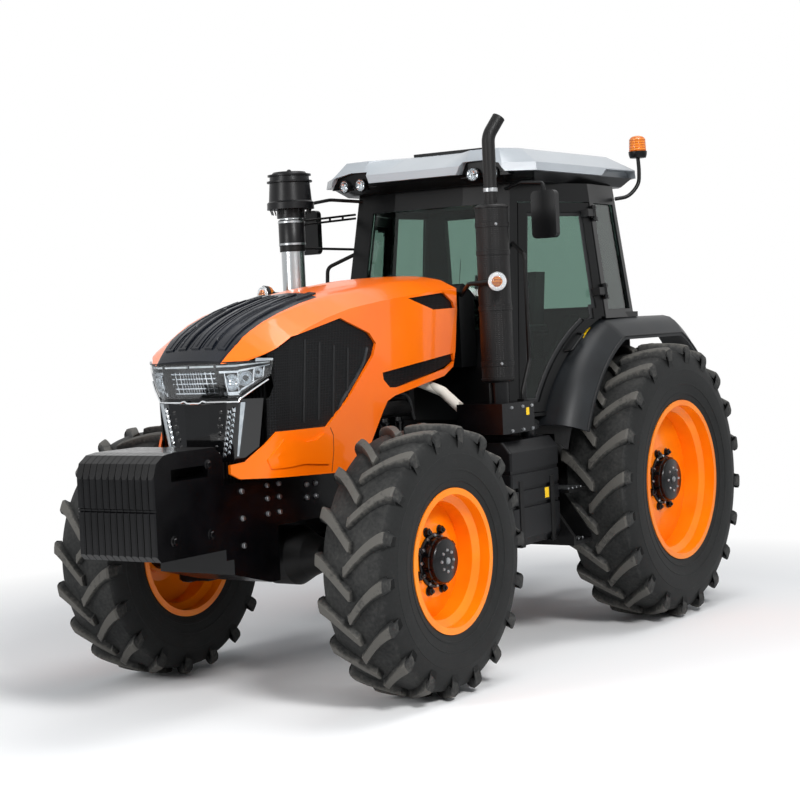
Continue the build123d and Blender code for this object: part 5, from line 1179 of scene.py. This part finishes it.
tail_x, brim_z = -1.5, 2.7
skin_gap = Vector((0.001, 0.001, 0.001))
signal_radius = 0.055
bodies_of_lamps, bowls, lenses, signal_amber, signal_clear, signal_white, tail_red = ([] for kind in range(7))
for low, high in islands:
    middle = (low + high) / 2
    sign = 1 if middle.y > 0 else -1
    if middle.x < tail_x:
        tail_red.append(soft_block(low - skin_gap, high + skin_gap, 0.008, 2))
    elif middle.z > brim_z:
        r = min(high.y - low.y, high.z - low.z) / 2
        out = Vector((0.98, sign * (0.12 if abs(middle.y) < 0.48 else 0.24), -0.05)).normalized()
        front = Vector((high.x, middle.y, middle.z))
        bodies_of_lamps.append(turned([(-0.058, r * 0.55), (-0.04, r * 0.9), (-0.012, r * 1.03), (0.004, r * 1.05),
                                       (0.006, r * 0.99), (0.004, r * 0.93), (-0.004, r * 0.92), (-0.03, r * 0.5),
                                       (-0.032, r * 0.1)], front, out, 36))
        bowls.append(turned([(-0.002, r * 0.91), (-0.012, r * 0.78), (-0.022, r * 0.52), (-0.027, r * 0.2),
                             (-0.030, r * 0.2), (-0.026, r * 0.56), (-0.014, r * 0.84), (-0.004, r * 0.96)],
                            front, out, 36, loop=True))
        lenses.append(turned([(-0.001, r * 0.93), (0.003, r * 0.9), (0.0065, r * 0.6), (0.008, r * 0.2)], front,
                             out, 36))
    else:
        r = signal_radius
        out = Vector((0.92, sign * 0.38, 0)).normalized()
        bodies_of_lamps.append(turned([(-0.030, r * 0.6), (-0.022, r * 0.98), (0.006, r * 1.04), (0.009, r * 0.98)],
                                      middle, out, 40))
        signal_white.append(turned([(0.0095, r * 0.97), (0.0125, r * 0.93), (0.011, r * 0.72), (0.014, r * 0.68),
                                    (0.012, r * 0.5), (0.0, r * 0.45), (0.002, r * 0.98)],
                                   middle, out, 40, loop=True))
        signal_clear.append(turned([(0.008, r * 0.97), (0.016, r * 0.95), (0.028, r * 0.80), (0.035, r * 0.5),
                                    (0.038, r * 0.12)], middle, out, 40))
        signal_amber.append(turned([(-0.060, r * 0.25), (-0.052, r * 0.62), (-0.040, r * 0.86), (-0.026, r * 0.98),
                                    (-0.018, r * 0.99)], middle, out, 40))
        signal_amber.append(turned([(0.004, r * 0.5), (0.014, r * 0.52), (0.024, r * 0.40), (0.028, r * 0.1)],
                                   middle, out, 28))
shown = put_in_scene("lamp_bodies", bodies_of_lamps, housing_black)
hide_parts("lamps")
put_in_scene("work_lamp_reflectors", bowls, chrome)
put_in_scene("work_lamp_lenses", lenses, lamp_glass)
put_in_scene("signal_lamp_reflectors", signal_white, light_guide)
put_in_scene("signal_lamp_clear_lenses", signal_clear, lamp_glass)
put_in_scene("signal_lamp_amber_lenses", signal_amber, amber_lens)
put_in_scene("tail_lamp_lenses", tail_red, red_lens)

post = Vector((-1.537, 0.850, 2.980))
dome = [(0.0, 0.050), (0.004, 0.0555)]
for count in range(1, 9):
    ridge_z = 0.004 + 0.0095 * count
    dome += [(ridge_z - 0.003, 0.0565 - 0.0004 * count), (ridge_z, 0.0545 - 0.0004 * count)]
dome += [(0.088, 0.046), (0.096, 0.036), (0.101, 0.020), (0.102, 0.004)]
put_in_scene("beacon_dome", [turned([(a + 0.012, r) for a, r in dome], post, (0, 0, 1), 48)], amber_lens,
             smooth=50)
base_ring = [turned([(-0.030, 0.034), (-0.028, 0.052), (-0.010, 0.058), (0.006, 0.060), (0.012, 0.060),
                     (0.014, 0.055)], post, (0, 0, 1), 48)]
bends = [(0, 0, -0.03), (0, 0.004, -0.12), (0.01, -0.004, -0.20), (0.06, -0.05, -0.27), (0.12, -0.115, -0.288)]
base_ring.append(hose([post + Vector(bend) for bend in bends], 0.0125, 14))
arm = put_in_scene("beacon_arm", base_ring, cab_paint)
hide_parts("beacon")

# ---------------------------------------------------------------- exhaust
# A pressed steel muffler stands on its box, with flat bands round it and an outlet bent back at the top. The
# punched pattern of its shell is relief in the finish. The pipe from the engine is wrapped in woven glass tape.

# Heat-proof paint: matt black, faded brown where it runs hottest.
muffler_paint, tree, shader, place = finish_of("heat_proof_muffler_paint", "#0B0B0C", Roughness=0.45, IOR=1.5,
                                               Specular_IOR_Level=0.25)
cloud = add(tree, "ShaderNodeTexNoise", {"Vector": place, "Scale": 8.0, "Detail": 5.0}).outputs["Fac"]
from_middle = add(tree, "ShaderNodeMapping", {"Vector": place, "Location": (-0.112, -0.720, 0)}).outputs[0]
holes = add(tree, "ShaderNodeTexVoronoi", {"Vector": from_middle, "Scale": 1000 / 12, "Randomness": 0.15})
edge = add(tree, "ShaderNodeMapRange", {"Value": holes.outputs["Distance"], "From Min": 0.2, "From Max": 0.4})
dress(tree, shader, edge.outputs[0], 0.002, 0.55, [(0.35, "#070708"), (0.8, "#131110")], cloud)
coat_cad(muffler_paint, "muffler")
muffler_at = Vector((0.113, 0.720, 0))


def band(at, z, half, inner, outer, lip, segments):
    """A flat band round an upright tube, with sloping edges."""
    profile = [(-half, inner), (lip - half, outer), (half - lip, outer), (half, inner)]
    return turned(profile, at + Vector((0, 0, z)), (0, 0, 1), segments)


bands = [band(muffler_at, z, 0.016, 0.094, 0.0985, 0.002, 56) for z in (1.70, 2.02, 2.34, 2.50)]
bands += [band(muffler_at, z, 0.006, 0.0945, 0.1, 0.002, 56) for z in (1.612, 2.600)]
put_in_scene("muffler_bands", bands, muffler_paint)
clamps = []
for z in (1.70, 2.50):
    clamps += bolt_head(muffler_at + Vector((0.070, 0.069, z)), (0.7, 0.7, 0), 0.014, 0.010)
clamps.append(band(muffler_at, 2.70, 0.012, 0.040, 0.0425, 0.002, 36))
put_in_scene("muffler_clamps", clamps, zinc_plate)

# Woven glass tape: off white, wound on a slant in wide turns.
heat_wrap, tree, shader, place = finish_of("wound_glass_fibre_tape", "#CFCBC0", Roughness=0.85)
slant = add(tree, "ShaderNodeVectorMath", {0: place, 1: (0.4, 1.0, 0.5)}, operation="MULTIPLY").outputs[0]
turns = add(tree, "ShaderNodeTexWave", {"Vector": slant, "Scale": wave_scale(22), "Distortion": 0.6},
            bands_direction="DIAGONAL", wave_profile="SAW").outputs["Fac"]
dress(tree, shader, turns, 0.003, 0.8, [(0.0, "#9E9A90"), (0.35, "#D9D6CC")])
coat_cad(heat_wrap, "exhaust_pipe")

# ---------------------------------------------------------------- air intake
# A brushed stainless tube on the right carries a moulded black pre-cleaner. Moulded rings and a collar with two
# band clamps dress it, and small ribs stand round its lower edge.

# Brushed stainless steel tube: bright, with fine lines round it.
stack_steel, tree, shader, place = finish_of("brushed_stainless_tube", "#B9BCBE", Roughness=0.22, Metallic=1.0)
lines = add(tree, "ShaderNodeTexWave", {"Vector": place, "Scale": wave_scale(1.5), "Distortion": 3.0},
            bands_direction="Z").outputs["Fac"]
dress(tree, shader, lines, 0.0002, 0.5, [(0.0, "#8E9294"), (1.0, "#CDD0D2")])
coat_cad(stack_steel, "intake_stack")

# Blow-moulded polyethylene: black and slightly waxy.
blown_plastic = mottled("blown_black_polyethylene", "#0A0B0C", 150, ("#08080A", "#0E0F11"), 7.0, 0.25, (0.28, 0.4),
                        Roughness=0.32, IOR=1.5, Specular_IOR_Level=0.22)
coat_cad(blown_plastic, "fuel_tank", "precleaner")
clean_low, clean_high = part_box("precleaner")
clean_at = Vector(((clean_low.x + clean_high.x) / 2, (clean_low.y + clean_high.y) / 2, 0))
rings = [band(clean_at, z, 0.006, r - 0.012, r, 0.001, 64)
         for z, r in ((2.905, 0.135), (2.865, 0.141), (2.700, 0.147))]
rings.append(turned([(-0.090, 0.0765), (-0.086, 0.082), (0.070, 0.082), (0.076, 0.078)],
                    clean_at + Vector((0.0, 0, 2.553)), (0, 0, 1), 48))
rings.append(turned([(0, 0.014), (0.012, 0.014), (0.018, 0.009), (0.020, 0.002)],
                    (clean_at.x, clean_at.y, clean_high.z - 0.002), (0, 0, 1), 24))
for a, b in circle(24):
    foot = clean_at + Vector((0.118 * a, 0.118 * b, 2.664))
    rings.append(turned([(0, 0.0035), (0.034, 0.0035)], foot, (0.35 * a, 0.35 * b, 1), 6))
put_in_scene("precleaner_rings", rings, blown_plastic)
bands = [band(clean_at, z, 0.007, 0.081, 0.084, 0.001, 48) for z in (2.478, 2.615)]
put_in_scene("stack_band_clamps", bands, zinc_plate)

# ---------------------------------------------------------------- tank, steps and fenders
# The blow-moulded tank hangs in two steel straps beside the steps. The fenders are grained plastic over steel,
# with a rubber edge bead. Plain yellow marks without words stand for the service labels.
coat_cad(charcoal_pp, "fenders")
soften("fenders", 26)
soften("fuel_tank", 40)
tank_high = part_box("fuel_tank")[1]
straps = []
for x in (-0.23, 0.13):
    straps.append(soft_block((x - 0.022, 0.60, 0.634), (x + 0.022, tank_high.y + 0.004, 0.6395), 0.002, 1))
    straps.append(soft_block((x - 0.022, tank_high.y - 0.001, 0.636), (x + 0.022, tank_high.y + 0.005, 1.02),
                             0.002, 1))
put_in_scene("tank_straps", straps, chassis_black)
cap = [turned([(-0.002, 0.052), (0.012, 0.052), (0.016, 0.048), (0.040, 0.048), (0.046, 0.042), (0.048, 0.010)],
              (-0.22, 0.70, tank_high.z - 0.002), (0, 0, 1), 12)]
put_in_scene("tank_cap", cap, black_rubber)

# Printed vinyl: signal yellow, smooth, a little faded.
yellow_vinyl = mottled("signal_yellow_vinyl", "#F2C300", 25, ("#E8B900", "#F8CB10"), 3.0, 0.03, (0.34, 0.5),
                       Roughness=0.4, IOR=1.5)
marks = [soft_block((-0.190, tank_high.y - 0.0005, 0.895), (-0.145, tank_high.y + 0.0012, 0.955), 0.0005, 1)]
bracket_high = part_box("exhaust_bracket")[1]
marks.append(soft_block((0.000, bracket_high.y - 0.0005, 1.395), (0.034, bracket_high.y + 0.0012, 1.438),
                        0.0005, 1))
bracket_bolts = []
for x in (-0.030, 0.075, 0.200):
    for z in (1.315, 1.448):
        bracket_bolts += bolt_head((x, bracket_high.y - 0.0005, z), (0, 1, 0), 0.016, 0.010)
put_in_scene("bracket_bolts", bracket_bolts, zinc_plate)
put_in_scene("tank_blank_mark", marks, yellow_vinyl)
fender_surface = surface_of("fenders")
for side, sign in SIDES:
    mark = []
    for count in range(7):
        x = -0.790 - 0.016 * count
        for y in (0.770, 0.800):
            hit, normal = fender_surface.ray_cast(Vector((x, sign * y, 3.0)), Vector((0, 0, -1)))[:2]
            mark.append(hit + normal * 0.0012)
    faces = [(2 * c, 2 * c + 1, 2 * c + 3, 2 * c + 2) for c in range(6)]
    under = [corner + Vector((0, 0, -0.0008)) for corner in mark]
    back = [(a + 14, d + 14, c + 14, b + 14) for a, b, c, d in faces]
    put_in_scene(f"fender_blank_mark_{side}", [(mark + under, faces + back)], yellow_vinyl)

fender_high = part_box("fenders")[1]
rear_axle = Vector((-1.457, 0, 0.8775))
arch_radius = 1.020
arch_flat = arch_radius * 0.915
for side, sign in SIDES:
    arc = []
    for step in range(61):
        turn = math.radians(22 + 120 * step / 60)
        x = rear_axle.x + arch_radius * math.cos(turn)
        z = rear_axle.z + min(arch_radius * math.sin(turn), arch_flat)
        arc.append((x, sign * (fender_high.y - 0.001), z + 0.001))
    put_in_scene(f"fender_edge_bead_{side}", [hose(arc, 0.0065, 8)], black_rubber)

# Battery box on the right: folded steel, with pressed ribs, a lid seam and two over-centre latches.
box_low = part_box("battery_box")[0]
end_x, wall_y = box_low.x, box_low.y
side_ribs = [soft_block((end_x + 0.05, wall_y - 0.006, z), (end_x + 0.42, wall_y + 0.002, z + 0.04), 0.004, 2)
             for z in (0.72, 0.83, 0.94)]
side_ribs.append(soft_block((end_x + 0.004, wall_y - 0.004, 1.062), (end_x + 0.47, wall_y + 0.002, 1.07),
                            0.0015, 1))
latches = [soft_block((x - 0.016, wall_y - 0.014, 1.03), (x + 0.016, wall_y + 0.001, 1.10), 0.004, 2)
           for x in (end_x + 0.11, end_x + 0.36)]
put_in_scene("battery_box_ribs", side_ribs, black_gloss)
put_in_scene("battery_box_latches", latches, zinc_plate)

# Zinc plated bars across the step treads, for grip.
tread_bars = []
for z_low in (0.605, 0.915):
    for x in (-0.52, -0.47, -0.42, -0.37):
        for sign in (1, -1):
            tread_bars.append(soft_block((x - 0.008, sign * 0.66, z_low), (x + 0.008, sign * 0.89, z_low + 0.016),
                                         0.003, 1))
put_in_scene("step_tread_bars", tread_bars, zinc_plate)
